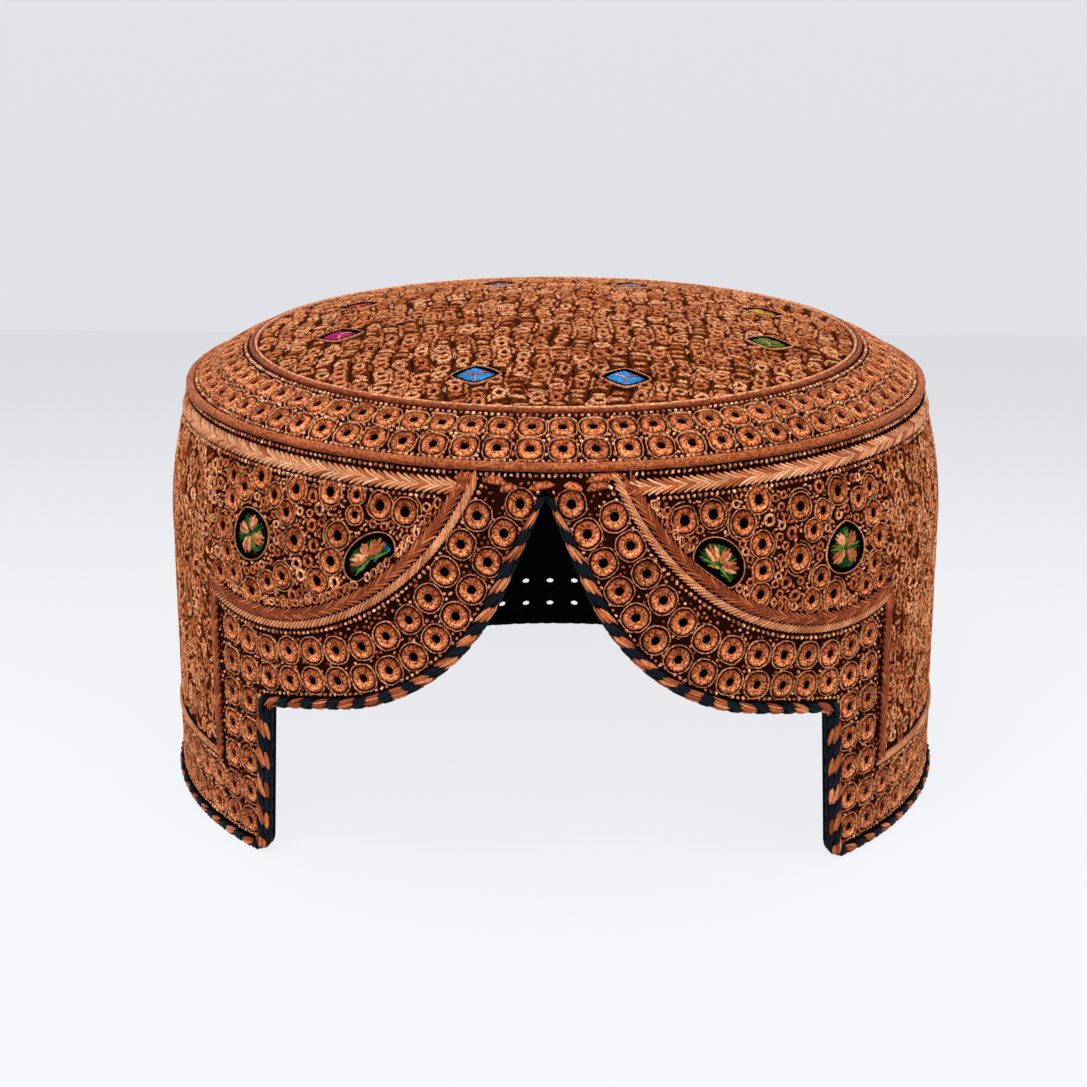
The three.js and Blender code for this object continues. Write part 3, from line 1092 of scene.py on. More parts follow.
@dataclass(frozen=True)
class Window:
    """A small coloured window in the thread work."""

    centre: Pair
    shape: WindowShape
    width: float
    length: float
    turn: float
    dyes: tuple[Dye, ...]
    fill: WindowFill = WindowFill.SATIN
    satin_lap: float = 0.25
    petal_lap: float = 0.2
    border_out: float = 0.6
    border_width: float = 0.95
    cord_out: float = 1.3
    cord_width: float = 0.38

    def outline(self, grow: float = 0.0) -> Array:
        """Points of the outline.

        Args:
            grow: How far it is grown outwards.

        Returns:
            The points, shape (32, 2).
        """
        t = np.linspace(0, 2 * math.pi, 33)[:-1]
        a, b = self.width / 2 + grow, self.length / 2 + grow
        if self.shape is WindowShape.TEARDROP:
            fullness, point = 1.08, 0.3
            across = a * fullness * np.sin(t) * np.abs(np.sin(t / 2)) ** point
            local = np.stack([across, b * np.cos(t)], axis=1)[::-1]
        elif self.shape is WindowShape.HALF_LEAF:
            flat_side, rise = 0.45, 0.125
            y = np.maximum(b * np.sin(t), -flat_side * self.length / 2 - grow)
            local = np.stack([a * np.cos(t), y + rise * self.length], axis=1)
        else:
            power = 1.25
            reach = (np.abs(np.cos(t)) ** power + np.abs(np.sin(t)) ** power) ** (-1 / power)
            local = np.stack([a * np.cos(t) * reach, b * np.sin(t) * reach], axis=1)
        return self.turned(local) + np.array(self.centre)

    def turned(self, local: Array) -> Array:
        """Local points turned as the window is."""
        c, s = math.cos(self.turn), math.sin(self.turn)
        return local @ np.array([[c, s], [-s, c]])

    def chords(self, lean: float, spacing: float) -> tuple[Array, Array]:
        """Ends of parallel stitches that fill the window.

        Args:
            lean: Angle of the stitches.
            spacing: Distance between them.

        Returns:
            The first and the second ends.
        """
        outline = self.outline(self.satin_lap) - np.array(self.centre)
        way = np.array([math.cos(lean), math.sin(lean)])
        side = np.array([-way[1], way[0]])
        along, across = outline @ way, outline @ side
        levels = np.arange(across.min() + spacing / 2, across.max(), spacing)
        starts, ends = [], []
        for level in levels:
            here = (across > level) != (np.roll(across, -1) > level)
            i = np.nonzero(here)[0]
            j = (i + 1) % len(across)
            share = (level - across[i]) / (across[j] - across[i])
            at = along[i] + share * (along[j] - along[i])
            if len(at) >= 2 and at.max() - at.min() > spacing:
                starts.append(way * at.min() + side * level)
                ends.append(way * at.max() + side * level)
        centre = np.array(self.centre)
        return np.array(starts) + centre, np.array(ends) + centre

    def heart(self) -> Array:
        """Point that the window's stitches run out from."""
        if self.shape is WindowShape.HALF_LEAF:
            return self.turned(np.array([[0.0, 0.05 * self.length]]))[0] + np.array(self.centre)
        return self.outline().mean(axis=0)

    def spokes(self, angles: Sequence[float], near: float, far: float) -> tuple[Array, Array]:
        """Ends of stitches that run outwards from the window's heart.

        Args:
            angles: Where each points, from the window's own across axis.
            near: Start of the stitch, as a part of the way to the outline.
            far: End of the stitch, as a part of the way to the outline.

        Returns:
            The first and the second ends.
        """
        heart = self.heart()
        rim = self.outline(self.petal_lap) - heart
        way = np.array(angles) + self.turn
        apart = np.angle(np.exp(1j * (np.arctan2(rim[:, 1], rim[:, 0]) - way[:, None])))
        reach = np.hypot(rim[:, 0], rim[:, 1])[np.argmin(np.abs(apart), axis=1)]
        ahead = ways_at(way) * reach[:, None]
        return heart + ahead * near, heart + ahead * far

    def satin(self, work: ThreadWork) -> None:
        """Fills the window with parallel stitches under three copper veins."""
        starts, ends = self.chords(self.turn + 0.35, 0.6)
        work.grains(starts, ends, 0.75, 0.4, self.dyes)
        veins = self.spokes((-1.57, 0.55, 2.59), 0.0, 0.85)
        work.grains(*veins, 0.5, 0.4, (Dye.COPPER, Dye.LIGHT_COPPER), base=0.12)

    def petals(self, work: ThreadWork) -> None:
        """Fills the window with copper petals and coloured stitches between them.

        Args:
            work: The thread work to add to.
        """
        starts, ends = self.chords(self.turn + 0.35, 0.7)
        work.grains(starts, ends, 0.8, 0.2, (*self.dyes, Dye.BLACK, Dye.LEAF))
        half = self.shape is WindowShape.HALF_LEAF
        leaves = (0.45, 1.5, 2.6) if half else (0.8, 2.35, 3.85, 5.5)
        arms = (-0.12, 0.98, 2.05, 3.2) if half else (0.05, 1.57, 3.1, 4.71)
        for lean in (-0.1, 0.1):
            ends = self.spokes([angle + lean for angle in arms], 0.0, 0.95)
            work.grains(*ends, 0.6, 0.5, self.dyes[:2])
        for lean in (-0.22, 0.0, 0.22):
            starts, ends = self.spokes([angle + lean for angle in leaves], 0.16, 0.98 - 0.5 * abs(lean))
            work.grains(starts, ends, 0.115 * self.width, 0.7, COPPERS, blunt=0.4, bow=0.25 * lean)

    def stitch(self, work: ThreadWork) -> None:
        """Works the window: its fill, a black border and a thin outline.

        Args:
            work: The thread work to add to.
        """
        if self.fill is WindowFill.SATIN:
            self.satin(work)
        else:
            self.petals(work)
        border, cord = self.outline(self.border_out)[None], self.outline(self.cord_out)[None]
        work.tubes(border, self.border_width, 0.62, Dye.BLACK, Section.FULL, closed=True, pitch=0.4)
        work.tubes(cord, self.cord_width, 0.6, Dye.BRIGHT_COPPER, Section.RIDGE, closed=True)


def off_windows(points: Array, windows: Sequence[Window], margin: float) -> Array:
    """Mask of the points that are outside every window by a margin."""
    free = np.ones(len(points), bool)
    for window in windows:
        free &= ~inside(points, window.outline(margin))
    return free


# Fields of fill

def keep_tubes(paths: Array, wanted: Mask) -> Array:
    """The paths whose both ends and middle are wanted."""
    k = paths.shape[1]
    mask = wanted(paths[:, 0]) & wanted(paths[:, k // 2]) & wanted(paths[:, -1])
    return paths[mask]


@dataclass(frozen=True)
class LadderField:
    """Wandering columns of fill: plump rungs and small loops on dark threads, with thin rails between."""

    pitch: float
    cell: float
    loop: float
    loop_width: float
    rung_width: float
    upright: float
    rung: float = 1.9
    lean: float = 0.25
    sway: float = 0.8
    height: float = 0.5
    loop_share: float = 0.5
    jitter: float = 0.16
    bow: float = 0.16
    rail: float = 3.1
    rail_width: float = 0.7
    rail_share: float = 0.6
    rail_wave: float = 0.38
    bed_span: float = 1.6
    bed_height: float = 0.2
    bed_cover: float = 0.52
    ground: Dye = Dye.UMBER

    def swayed(self, points: Array) -> Array:
        """Points moved a little aside, so that the columns wander."""
        x, y = points[..., 0], points[..., 1]
        across = np.sin(0.23 * y + 1.7 * np.sin(0.11 * x))
        along = np.sin(0.27 * x + 1.3 * np.sin(0.13 * y))
        return points + self.sway * np.stack([across, along], axis=-1)

    def rails(self, work: ThreadWork, columns: Array, low: float, high: float) -> Array:
        """Short wavy lines along columns, with gaps.

        Args:
            work: The thread work whose randomness is used.
            columns: Places of the lines.
            low: Lowest point.
            high: Highest point.

        Returns:
            The lines, shape (m, 5, 2).
        """
        waves, cover = 8.5, 0.95
        x, y = np.meshgrid(columns, np.arange(low, high, self.rail))
        kept = work.rng.random(x.size) < self.rail_share
        x, y = x.ravel()[kept, None], y.ravel()[kept, None]
        t = np.linspace(0, 1, 5)
        wave = self.rail_wave * np.sin(waves * t + work.rng.uniform(0, ANY_TURN, x.shape))
        return self.swayed(np.stack([x + wave, y + self.rail * cover * t], axis=2))

    def bed(
        self, work: ThreadWork, columns: Array, apart: float, low: float, high: float, wanted: Mask
    ) -> None:
        """Lays the low dark threads that the columns lie on.

        Args:
            work: The thread work to add to.
            columns: Middles of the columns.
            apart: Distance between them.
            low: Lowest point.
            high: Highest point.
            wanted: Mask of the points that may be covered.
        """
        ends = (-0.03, 1.03)
        places = np.concatenate([columns - apart / 4, columns + apart / 4])
        x, y = np.meshgrid(places, np.arange(low, high, self.bed_span))
        along = y.reshape(-1, 1) + self.bed_span * np.linspace(*ends, 3)
        lines = self.swayed(np.stack([np.broadcast_to(x.reshape(-1, 1), along.shape), along], axis=2))
        lines = keep_tubes(lines, wanted)
        width = apart * self.bed_cover
        work.tubes(lines, width, self.bed_height, self.ground, pitch=0.7, slant=0.3, base=-0.1)

    def stitch(
        self, work: ThreadWork, low: Sequence[float], high: Sequence[float], wanted: Mask
    ) -> None:
        """Fills a box with columns along its second axis.

        Args:
            work: The thread work to add to.
            low: Lowest corner.
            high: Highest corner.
            wanted: Mask of the points that may be covered.
        """
        rng = work.rng
        count = max(int(round((high[0] - low[0]) / self.pitch)), 1)
        apart = (high[0] - low[0]) / count
        columns = low[0] + (np.arange(count) + 0.5) * apart
        self.bed(work, columns, apart, low[1], high[1], wanted)
        rails = keep_tubes(self.rails(work, columns + apart / 2, low[1], high[1]), wanted)
        work.tubes(rails, self.rail_width, self.height, FILLS, Section.RIDGE, pitch=0.6, slant=0.6)
        x, y = np.meshgrid(columns, np.arange(low[1], high[1], self.cell))
        y = y + rng.uniform(0, self.cell, count)
        cells = self.swayed(np.stack([x.ravel(), y.ravel()], axis=1))
        cells = cells + rng.normal(0, self.jitter, cells.shape)
        cells = cells[wanted(cells)]
        looped = rng.random(len(cells)) < self.loop_share
        rings = small_loops(rng, cells[looped], self.loop, self.upright)
        work.tubes(rings, self.loop_width, self.height, FILLS, closed=True, slant=0.5)
        rungs = cells[~looped]
        lean = rng.normal(0, self.lean, len(rungs))
        shortest, longest = 0.65, 1.1
        reach = self.rung * rng.uniform(shortest, longest, len(rungs))
        reach = reach[:, None] * ways_at(lean)
        bend = rng.random(len(rungs)) < 0.5
        for mask, bow in ((bend, self.bow), (~bend, -self.bow)):
            starts, ends = rungs[mask] - reach[mask], rungs[mask] + reach[mask]
            work.grains(starts, ends, self.rung_width, self.height, FILLS, bow=bow)


def small_loops(rng: Rng, centres: Array, radius: float, upright: float) -> Array:
    """Small loops, each a little oval and uneven.

    Args:
        rng: Source of the unevenness.
        centres: Centres, shape (m, 2).
        radius: Mean radius.
        upright: How much taller than wide they are.

    Returns:
        The loops, shape (m, 8, 2).
    """
    m, sides = len(centres), 8
    uneven, narrowest, widest = 0.1, 0.9, 1.45
    angle = angles_round(sides)
    reach = radius * rng.normal(1.0, uneven, (m, sides))
    oval = rng.uniform(narrowest, widest, (m, 1)) / upright
    ring = np.stack([reach * oval * np.cos(angle), reach / oval * np.sin(angle)], axis=2)
    return centres[:, None, :] + ring


# Sub-assemblies

def wall_outline(inset: float, top: float) -> Array:
    """Closed outline of the flat wall.

    Args:
        inset: How far it stays inside the finished edge.
        top: Height of its upper edge.

    Returns:
        The points, shape (n, 2).
    """
    spacing, over_points = 3.0, 150
    half = spaced(EDGE.line(), spacing)
    half = moved_left(np.concatenate([half[:-1], [EDGE.back]]), inset)
    half[-1] = EDGE.back + [0, inset]
    bottom = np.concatenate([mirrored(half)[::-1], half[1:]])
    across = np.linspace(FORM.half_round, -FORM.half_round, over_points)
    over = np.column_stack([across, np.full(over_points, top)])
    return np.concatenate([bottom, over])


@dataclass
class ClothLayers:
    """The dark ground cloth and the lining, cut flat with their eyelet holes."""

    wall_eyelets: Eyelets
    crown_eyelets: Eyelets
    grid: float = 4.0
    edge_share: float = 0.45
    hole_sides: int = 8
    hole_clear: float = 2.0
    hole_share: float = 0.93
    disc_sides: int = 180
    lining_inset: float = 4.5
    lining_drop: float = 1.0
    closed_front: float = 95.0

    def cut(self, outline: Array, holes: Array, radius: Array) -> Cut:
        """Cuts a flat cloth into triangles.

        Args:
            outline: Closed outline, shape (n, 2).
            holes: Centres of the holes.
            radius: Radius of each hole.

        Returns:
            Flat points and triangles.
        """
        ring = ways_at(angles_round(self.hole_sides))
        rims = (holes[:, None, :] + radius[:, None, None] * ring).reshape(-1, 2)
        low, high = outline.min(axis=0), outline.max(axis=0)
        grid = np.stack(np.meshgrid(
            np.arange(low[0] + self.grid / 2, high[0], self.grid),
            np.arange(low[1] + self.grid / 2, high[1], self.grid),
        ), axis=-1).reshape(-1, 2)
        grid = grid[inside(grid, outline)]
        grid = grid[clear_of(grid, outline, self.grid * self.edge_share)]
        grid = grid[clear_of(grid, holes, self.hole_clear)]
        points = np.concatenate([outline, rims, grid])
        n = len(outline)
        edges = [(i, (i + 1) % n) for i in range(n)]
        for h in range(len(holes)):
            first = n + h * self.hole_sides
            edges += [(first + i, first + (i + 1) % self.hole_sides) for i in range(self.hole_sides)]
        made = delaunay_2d_cdt([Vector(p) for p in points], edges, [], 0, 1e-5)
        flat = np.array([tuple(p) for p in made[0]])
        faces = np.array([f for f in made[2] if len(f) == 3])
        middle = flat[faces].mean(axis=1)
        kept = inside(middle, outline) & clear_of(middle, holes, radius * self.hole_share)
        faces = faces[kept]
        a, b, c = (flat[faces[:, i]] for i in range(3))
        ahead = np.cross(b - a, c - a)
        faces = np.where((ahead > 0)[:, None], faces, faces[:, ::-1])
        return flat, faces

    def thick(self, flat: Array, faces: Array, lift: float, thickness: float) -> tuple[Array, Array, Array]:
        """Gives a flat cloth its thickness.

        Args:
            flat: Flat points.
            faces: Triangles, facing out.
            lift: Lift of the outer face.
            thickness: Thickness behind it.

        Returns:
            Points with their lift, four-sided faces of the cut edges, and triangles.
        """
        n = len(flat)
        points = np.concatenate([
            np.column_stack([flat, np.full(n, lift)]),
            np.column_stack([flat, np.full(n, lift - thickness)]),
        ])
        sides = np.concatenate([faces[:, [0, 1]], faces[:, [1, 2]], faces[:, [2, 0]]])
        key = sides[:, 0] * n + sides[:, 1]
        back = sides[:, 1] * n + sides[:, 0]
        open_sides = sides[~np.isin(key, back)]
        a, b = open_sides[:, 0], open_sides[:, 1]
        quads = np.stack([b, a, a + n, b + n], axis=1)
        return points, quads, np.concatenate([faces, faces[:, ::-1] + n])

    def piece(
        self, name: str, surface: Surface, cut: Cut, lift: float, thickness: float, finish: Finish
    ) -> tuple[Piece, float]:
        """Makes a cloth piece from its flat cut.

        Args:
            name: Name of the piece.
            surface: What the cloth follows.
            cut: Flat points and triangles.
            lift: Lift of the outer face.
            thickness: Thickness of the cloth.
            finish: Finish of the cloth.

        Returns:
            The object, and its flat area in square metres.
        """
        flat, faces = cut
        points, quads, tris = self.thick(flat, faces, lift, thickness)
        piece = mesh_piece(name, surface.place(points), quads, tris, None, points, finish)
        a, b, c = (flat[faces[:, i]] for i in range(3))
        area = np.abs(np.cross(b - a, c - a)).sum() / 2 * MM ** 2
        return piece, float(area)

    def disc(self, reach: float) -> Array:
        """Closed outline of the flat crown."""
        return arc_points(np.zeros(2), reach, 0, 2 * math.pi, self.disc_sides + 1)[:-1]

    def build(self) -> list[Piece]:
        """Builds the wall, the crown and both linings."""
        holes, crown_holes = self.wall_eyelets, self.crown_eyelets
        radii = holes.hole * holes.sizes
        wall_top = FORM.seam_height - FORM.seam_allowance
        outline = wall_outline(FORM.tape + FORM.gap, wall_top)
        cut = self.cut(outline, holes.centres, radii)
        wall, area = self.piece("wall_cloth", WALL, cut, 0.0, FORM.cloth, GROUND)
        settle(wall, "embroidered_cloth", "side_wall")
        reach = CROWN.seam_reach - FORM.seam_allowance
        cut = self.cut(self.disc(reach), crown_holes.centres, crown_holes.hole * crown_holes.sizes)
        crown, area = self.piece("crown_cloth", CROWN, cut, 0.0, FORM.cloth, GROUND)
        settle(crown, "embroidered_cloth", "crown")
        lift = -FORM.cloth - FORM.gap
        outline = wall_outline(self.lining_inset, FORM.seam_height - self.lining_drop)
        pierced = inside(holes.centres, outline) & (np.abs(holes.centres[:, 0]) > self.closed_front)
        cut = self.cut(outline, holes.centres[pierced], radii[pierced])
        lining, area = self.piece("lining_wall", WALL, cut, lift, FORM.lining, COTTON)
        settle(lining, "black_cotton", "lining")
        cut = self.cut(self.disc(CROWN.seam_reach), np.zeros((0, 2)), np.zeros(0))
        top, area = self.piece("lining_crown", CROWN, cut, lift, FORM.lining, COTTON)
        settle(top, "black_cotton", "lining")
        return [wall, crown, lining, top]


@dataclass
class Binding:
    """The tape folded over the lower edge, and the striped stitching on its face."""

    width: float = 2.8
    width_at_peak: float = 1.2
    width_behind: float = 4.2
    taper: float = 16.0
    block: float = 3.6
    fold: float = 0.45
    fold_round: float = 0.25
    fold_reach: float = 1.1
    flat_from: float = 1.4
    corner: float = 0.35
    rows: tuple[float, ...] = (-1.0, -0.1, 0.85, 1.65, 2.35)
    strand: float = 4.8
    strand_width: float = 1.0
    strand_height: float = 0.6
    slant: float = 0.6
    turns_at: float = 58.0
    turn_span: float = 10.0

    def widths(self, line: Array) -> Array:
        """Width of the tape at each point of the finished edge."""
        near = np.clip(1 - np.linalg.norm(np.abs(line) - EDGE.peak, axis=1) / self.taper, 0, 1)
        return self.width + (self.width_at_peak - self.width) * near

    def tape(self) -> Piece:
        """Builds the tape, one loop round the whole edge."""
        spacing, least = 1.6, 0.03
        half = spaced(EDGE.line(), spacing)
        loop = np.concatenate([half[::-1], mirrored(half)[1:-1]])
        step = np.roll(loop, -1, 0) - np.roll(loop, 1, 0)
        jump = 2 * FORM.half_round
        step[:, 0] -= np.round(step[:, 0] / jump) * jump
        side = -left_of(unit(step))
        width = self.widths(loop)
        inner = width + self.width_behind - self.width
        face, behind = FORM.gap, -FORM.cloth - FORM.gap
        top, under = face + FORM.tape, behind - FORM.tape
        r, bend, reach = self.corner, self.fold_round, self.fold_reach
        ones = np.ones(len(loop))
        ring = [
            (width, face),
            (width, top - r),
            (width - r, top),
            (np.minimum(width - r - least, self.flat_from), top),
            (ones * (self.fold + bend), top - bend),
            (ones * self.fold, top - reach),
            (ones * self.fold, under + reach),
            (ones * (self.fold + bend), under + bend),
            (ones * self.flat_from, under),
            (inner - r, under),
            (inner, under + r),
            (inner, behind),
            (ones * FORM.tape, behind),
            (ones * FORM.tape, face),
        ]
        n, m = len(ring), len(loop)
        points = np.stack([
            np.column_stack([loop + side * inset[:, None], np.full(m, lift)]) for inset, lift in ring
        ], axis=1)
        along = np.concatenate([[0], np.cumsum(np.linalg.norm(step, axis=1) / 2)[:-1]])
        spans = (0, 0.5, 0.5, 2, 1.2, 1.2, 1.6, 1.2, 1.2, 2, 0.5, 0.5, 3, 2)
        around = np.cumsum(spans)
        threads = np.stack(np.broadcast_arrays(along[:, None], around[None, :], 0.0), axis=2)
        i, j = np.meshgrid(np.arange(m), np.arange(n), indexing="ij")
        i2, j2 = (i + 1) % m, (j + 1) % n
        quads = np.stack([i * n + j, i2 * n + j, i2 * n + j2, i * n + j2], axis=2).reshape(-1, 4)
        placed, threads = WALL.place(points.reshape(-1, 3)), threads.reshape(-1, 3)
        piece = mesh_piece("binding_tape", placed, quads[:, ::-1], NO_TRIS, None, threads, TAPE)
        settle(piece, "striped_tape", "edge_binding")
        return piece

    def place(self, flat: Array) -> Array:
        """Bends flat points over the tape: outwards over its fold and inwards over its face.

        Args:
            flat: Points (along the edge, in from the fold, lift) in millimetres, shape (n, 3); the left
                half's lengths are negative.

        Returns:
            Points in metres, shape (n, 3).
        """
        end, step = 0.06, 0.05
        half = EDGE.line()
        along = np.clip(np.abs(flat[:, 0]), end, lengths_along(half)[-1] - end)
        line = points_at(half, along)
        way = points_at(half, along + step) - points_at(half, along - step)
        side = left_of(unit(way))
        share = flat[:, 1] / self.width
        top, under = FORM.gap + FORM.tape, -FORM.cloth - FORM.gap - FORM.tape
        bend, reach = self.fold_round, self.fold_reach
        stops = (-0.8, -0.6, -0.15, 0.1, 0.33, 1.0)
        lifts = (under + bend, under + reach, top - reach, top - bend, top, top)
        inset = self.fold * np.interp(share, stops, (1.5, 1, 1, 1.5, 1, 0))
        inset = inset + self.widths(line) * np.interp(share, stops, (0, 0, 0, 0, 0.33, 1.0))
        lift = np.interp(share, stops, lifts)
        slope = np.interp(share, stops, (2.4, 1.57, 1.45, 0.8, 0, 0))
        inset = inset - flat[:, 2] * np.sin(slope)
        lift = lift + flat[:, 2] * np.cos(slope)
        spot = line + side * inset[:, None]
        spot[:, 0] *= np.where(flat[:, 0] < 0, -1, 1)
        return WALL.place(np.column_stack([spot, lift]))

    def stitches(self) -> Piece:
        """Builds the short strands on the tape's face and fold, in blocks of copper and navy."""
        work = ThreadWork(11)
        first_block, along_jitter, lean_jitter = 0.4, 0.2, 0.06
        least_lean, lean_step = 0.05, 0.1
        shortest, longest = 0.85, 1.1
        length = lengths_along(EDGE.line())[-1]
        middles = np.arange(self.block * first_block, length, self.block)
        turned = np.tanh((self.turns_at - middles) / self.turn_span)
        for row, inward in enumerate(self.rows):
            at = middles + self.slant * turned * inward + work.rng.normal(0, along_jitter, len(middles))
            reach = self.strand / 2 * work.rng.uniform(shortest, longest, len(at))
            lean = (least_lean + lean_step * row) * turned + work.rng.normal(0, lean_jitter, len(at))
            drop = reach * np.sin(lean)
            starts = np.column_stack([at - reach, inward - drop])
            ends = np.column_stack([at + reach, inward + drop])
            for colour, dyes in enumerate(((Dye.NAVY,), (Dye.COPPER, Dye.BRIGHT_COPPER, Dye.RUST))):
                kept = np.arange(len(at)) % 2 == colour if row else np.full(len(at), colour == 0)
                first = np.concatenate([starts[kept], mirrored(starts[kept])])
                last = np.concatenate([ends[kept], mirrored(ends[kept])])
                width, height = self.strand_width, self.strand_height
                work.grains(first, last, width, height, dyes, section=Section.FULL, blunt=0.35)
        return work.to_piece("binding_stitches", self, BRAID, "striped_tape")

    def build(self) -> list[Piece]:
        """Builds the tape and its stitches."""
        return [self.tape(), self.stitches()]


@dataclass
class Braids:
    """The plait under the seam, the rope and plait that frame the panels, and the cords of the crown."""

    plait_height: float = 91.5
    plait_start: float = 19.4
    plait_width: float = 3.4
    plait_tuck: float = 0.2
    plait_pitch: float = 1.6
    lobe_plait_inset: float = 2.35
    lobe_plait_width: float = 2.7
    leg_plait_width: float = 2.8
    leg_lap: float = 1.0
    rope_width: float = 1.7
    rope_pitch: float = 1.05
    thickness: float = 1.0
    piping_radius: float = 1.0
    piping_lift: float = 0.6
    piping_tilt: float = math.radians(33.3)
    # A rust cord, and a light copper strand on its upper, inner edge that is a painted highlight.
    ring_cord_and_highlight: tuple[tuple[float, float, Dye], ...] = (
        (-0.62, 0.9, Dye.LIGHT_COPPER), (0.4, 1.3, Dye.RUST),
    )
    ring_height: float = 1.05

    def herringbone(self, work: ThreadWork, line: Array, width: float, dye: Sequence[Dye]) -> None:
        """Lays a herringbone plait of long slanting strands along a line.

        Args:
            work: The thread work to add to.
            line: Middle line of the plait.
            width: Width of the plait.
            dye: Colours to pick from.
        """
        slant, overlap, cover = 1.5, 0.04, 0.45
        line = spaced(line, self.plait_pitch)
        way = ways(line)
        side = left_of(way)
        lean = width * slant
        strand = self.plait_pitch * cover
        for sign in (-1, 1):
            tip = line + side * sign * width / 2 - way * lean * 0.5
            spine = line - side * sign * width * overlap + way * lean * 0.5
            work.grains(tip, spine, strand, self.thickness, dye, base=0.05, bow=-0.06 * sign, blunt=0.7)

    def rope(self, work: ThreadWork, line: Array) -> None:
        """Lays a twisted rope of slanting strands along a line.

        Args:
            work: The thread work to add to.
            line: Middle line of the rope.
        """
        steep_to, flat_from, leans, cover = 15, 45, (1.1, 0.62), 0.6
        line = spaced(line, self.rope_pitch)
        way = ways(line)
        side = left_of(way)
        lean = np.interp(lengths_along(line), (steep_to, flat_from), leans)
        reach = side * self.rope_width / 2 + way * self.rope_width * lean[:, None]
        strand = self.rope_pitch * cover
        start, end = line - reach, line + reach
        work.grains(start, end, strand, self.thickness, ROPES, base=0.05, bow=0.06, blunt=0.6)

    def both_sides(self, line: Array) -> list[Array]:
        """A line of the right half and its mirror image."""
        return [line, mirrored(line)]

    def build(self) -> list[Piece]:
        """Builds every braid and cord."""
        top = ThreadWork(21)
        start = np.array([self.plait_start, self.plait_height])
        end = np.array([2 * FORM.half_round - self.plait_start, self.plait_height])
        self.herringbone(top, np.stack([start, end]), self.plait_width - self.plait_tuck, DOTS)
        light = ThreadWork(22)
        lobe = PANEL.lobe()
        base = np.array([[PANEL.leg, PANEL.base], [2 * FORM.half_round - PANEL.leg, PANEL.base]])
        for line in (*self.both_sides(lobe), base):
            self.rope(light, line)
        rust = ThreadWork(23)
        for line in self.both_sides(PANEL.lobe(self.lobe_plait_inset)):
            self.herringbone(rust, line, self.lobe_plait_width, RUSTS)
        leg = np.array([[PANEL.leg, lobe[-1][1] + self.leg_lap], [PANEL.leg, PANEL.base]])
        for line in self.both_sides(leg):
            self.herringbone(rust, line, self.leg_plait_width, RUSTS)
        return [
            top.to_piece("top_plait", WALL, BRAID, "copper_thread", "top_braid"),
            light.to_piece("panel_rope", WALL, BRAID, "copper_thread", "panel_braid"),
            rust.to_piece("lobe_plait", WALL, BRAID, "rust_thread"),
            self.piping(),
            self.ring(),
        ]

    def ring(self) -> Piece:
        """Builds the ring of the crown: a rust cord, with a light copper strand along its upper, inner edge
        as a painted highlight.
        """
        work = ThreadWork(24)
        circle = ways_at(np.linspace(0, 2 * math.pi, 361)[:-1])
        # The light strand is the cord's painted highlight; the rust strand is the cord itself.
        for offset, width, dye in self.ring_cord_and_highlight:
            line = (CROWN.ring_reach + offset) * circle
            work.tubes(line[None], width, self.ring_height, dye, Section.FULL, closed=True, pitch=4.0)
        return work.to_piece("crown_ring", CROWN, TWIST, "rust_thread", "crown_cord")

    def piping(self) -> Piece:
        """Builds the round cord in the seam, painted lighter on its upper side and darker on its lower
        side.
        """
        rng = np.random.default_rng(31)
        stations, sides = 720, 10
        thinnest, thickest = 0.004, 0.015
        mark, fibres, number = 4, 3, 3.0
        light, low, swing, turned = 0.9, 0.85, 0.3, 0.2
        reach = FORM.seam_radius + self.piping_lift * math.cos(self.piping_tilt)
        height = FORM.seam_height + self.piping_lift * math.sin(self.piping_tilt)
        turn = np.linspace(0, 2 * math.pi, stations + 1)
        waves = sum(
            rng.uniform(thinnest, thickest) * np.sin(k * turn + rng.uniform(0, ANY_TURN))
            for k in range(20, 120, 9)
        )
        around = np.arange(sides + 1) * 2 * math.pi / sides
        size = self.piping_radius * (1 + waves)[:, None]
        out = reach + size * np.cos(around)
        up = height + size * np.sin(around)
        points = np.stack([out * np.sin(turn)[:, None], -out * np.cos(turn)[:, None], up], axis=2) * MM
        phase = turn[:, None] * reach / mark
        threads = np.stack(np.broadcast_arrays(phase, around[None, :] * fibres, number), axis=2)
        n = sides + 1
        i, j = np.meshgrid(np.arange(stations), np.arange(sides), indexing="ij")
        corner = i * n + j
        quads = np.stack([corner, corner + n, corner + n + 1, corner + 1], axis=2).reshape(-1, 4)
        # Painted light and shade: the cord is lighter on its upper side and darker underneath.
        shade = np.tile(light * (low + swing * np.sin(around - turned)), stations + 1)
        colours = Dye.COPPER.linear() * shade[:, None] ** DEEPEN
        points, threads = points.reshape(-1, 3), threads.reshape(-1, 3)
        piece = mesh_piece("piping_cord", points, quads, NO_TRIS, colours, threads, TWIST)
        return settle(piece, "copper_thread", "seam_piping")


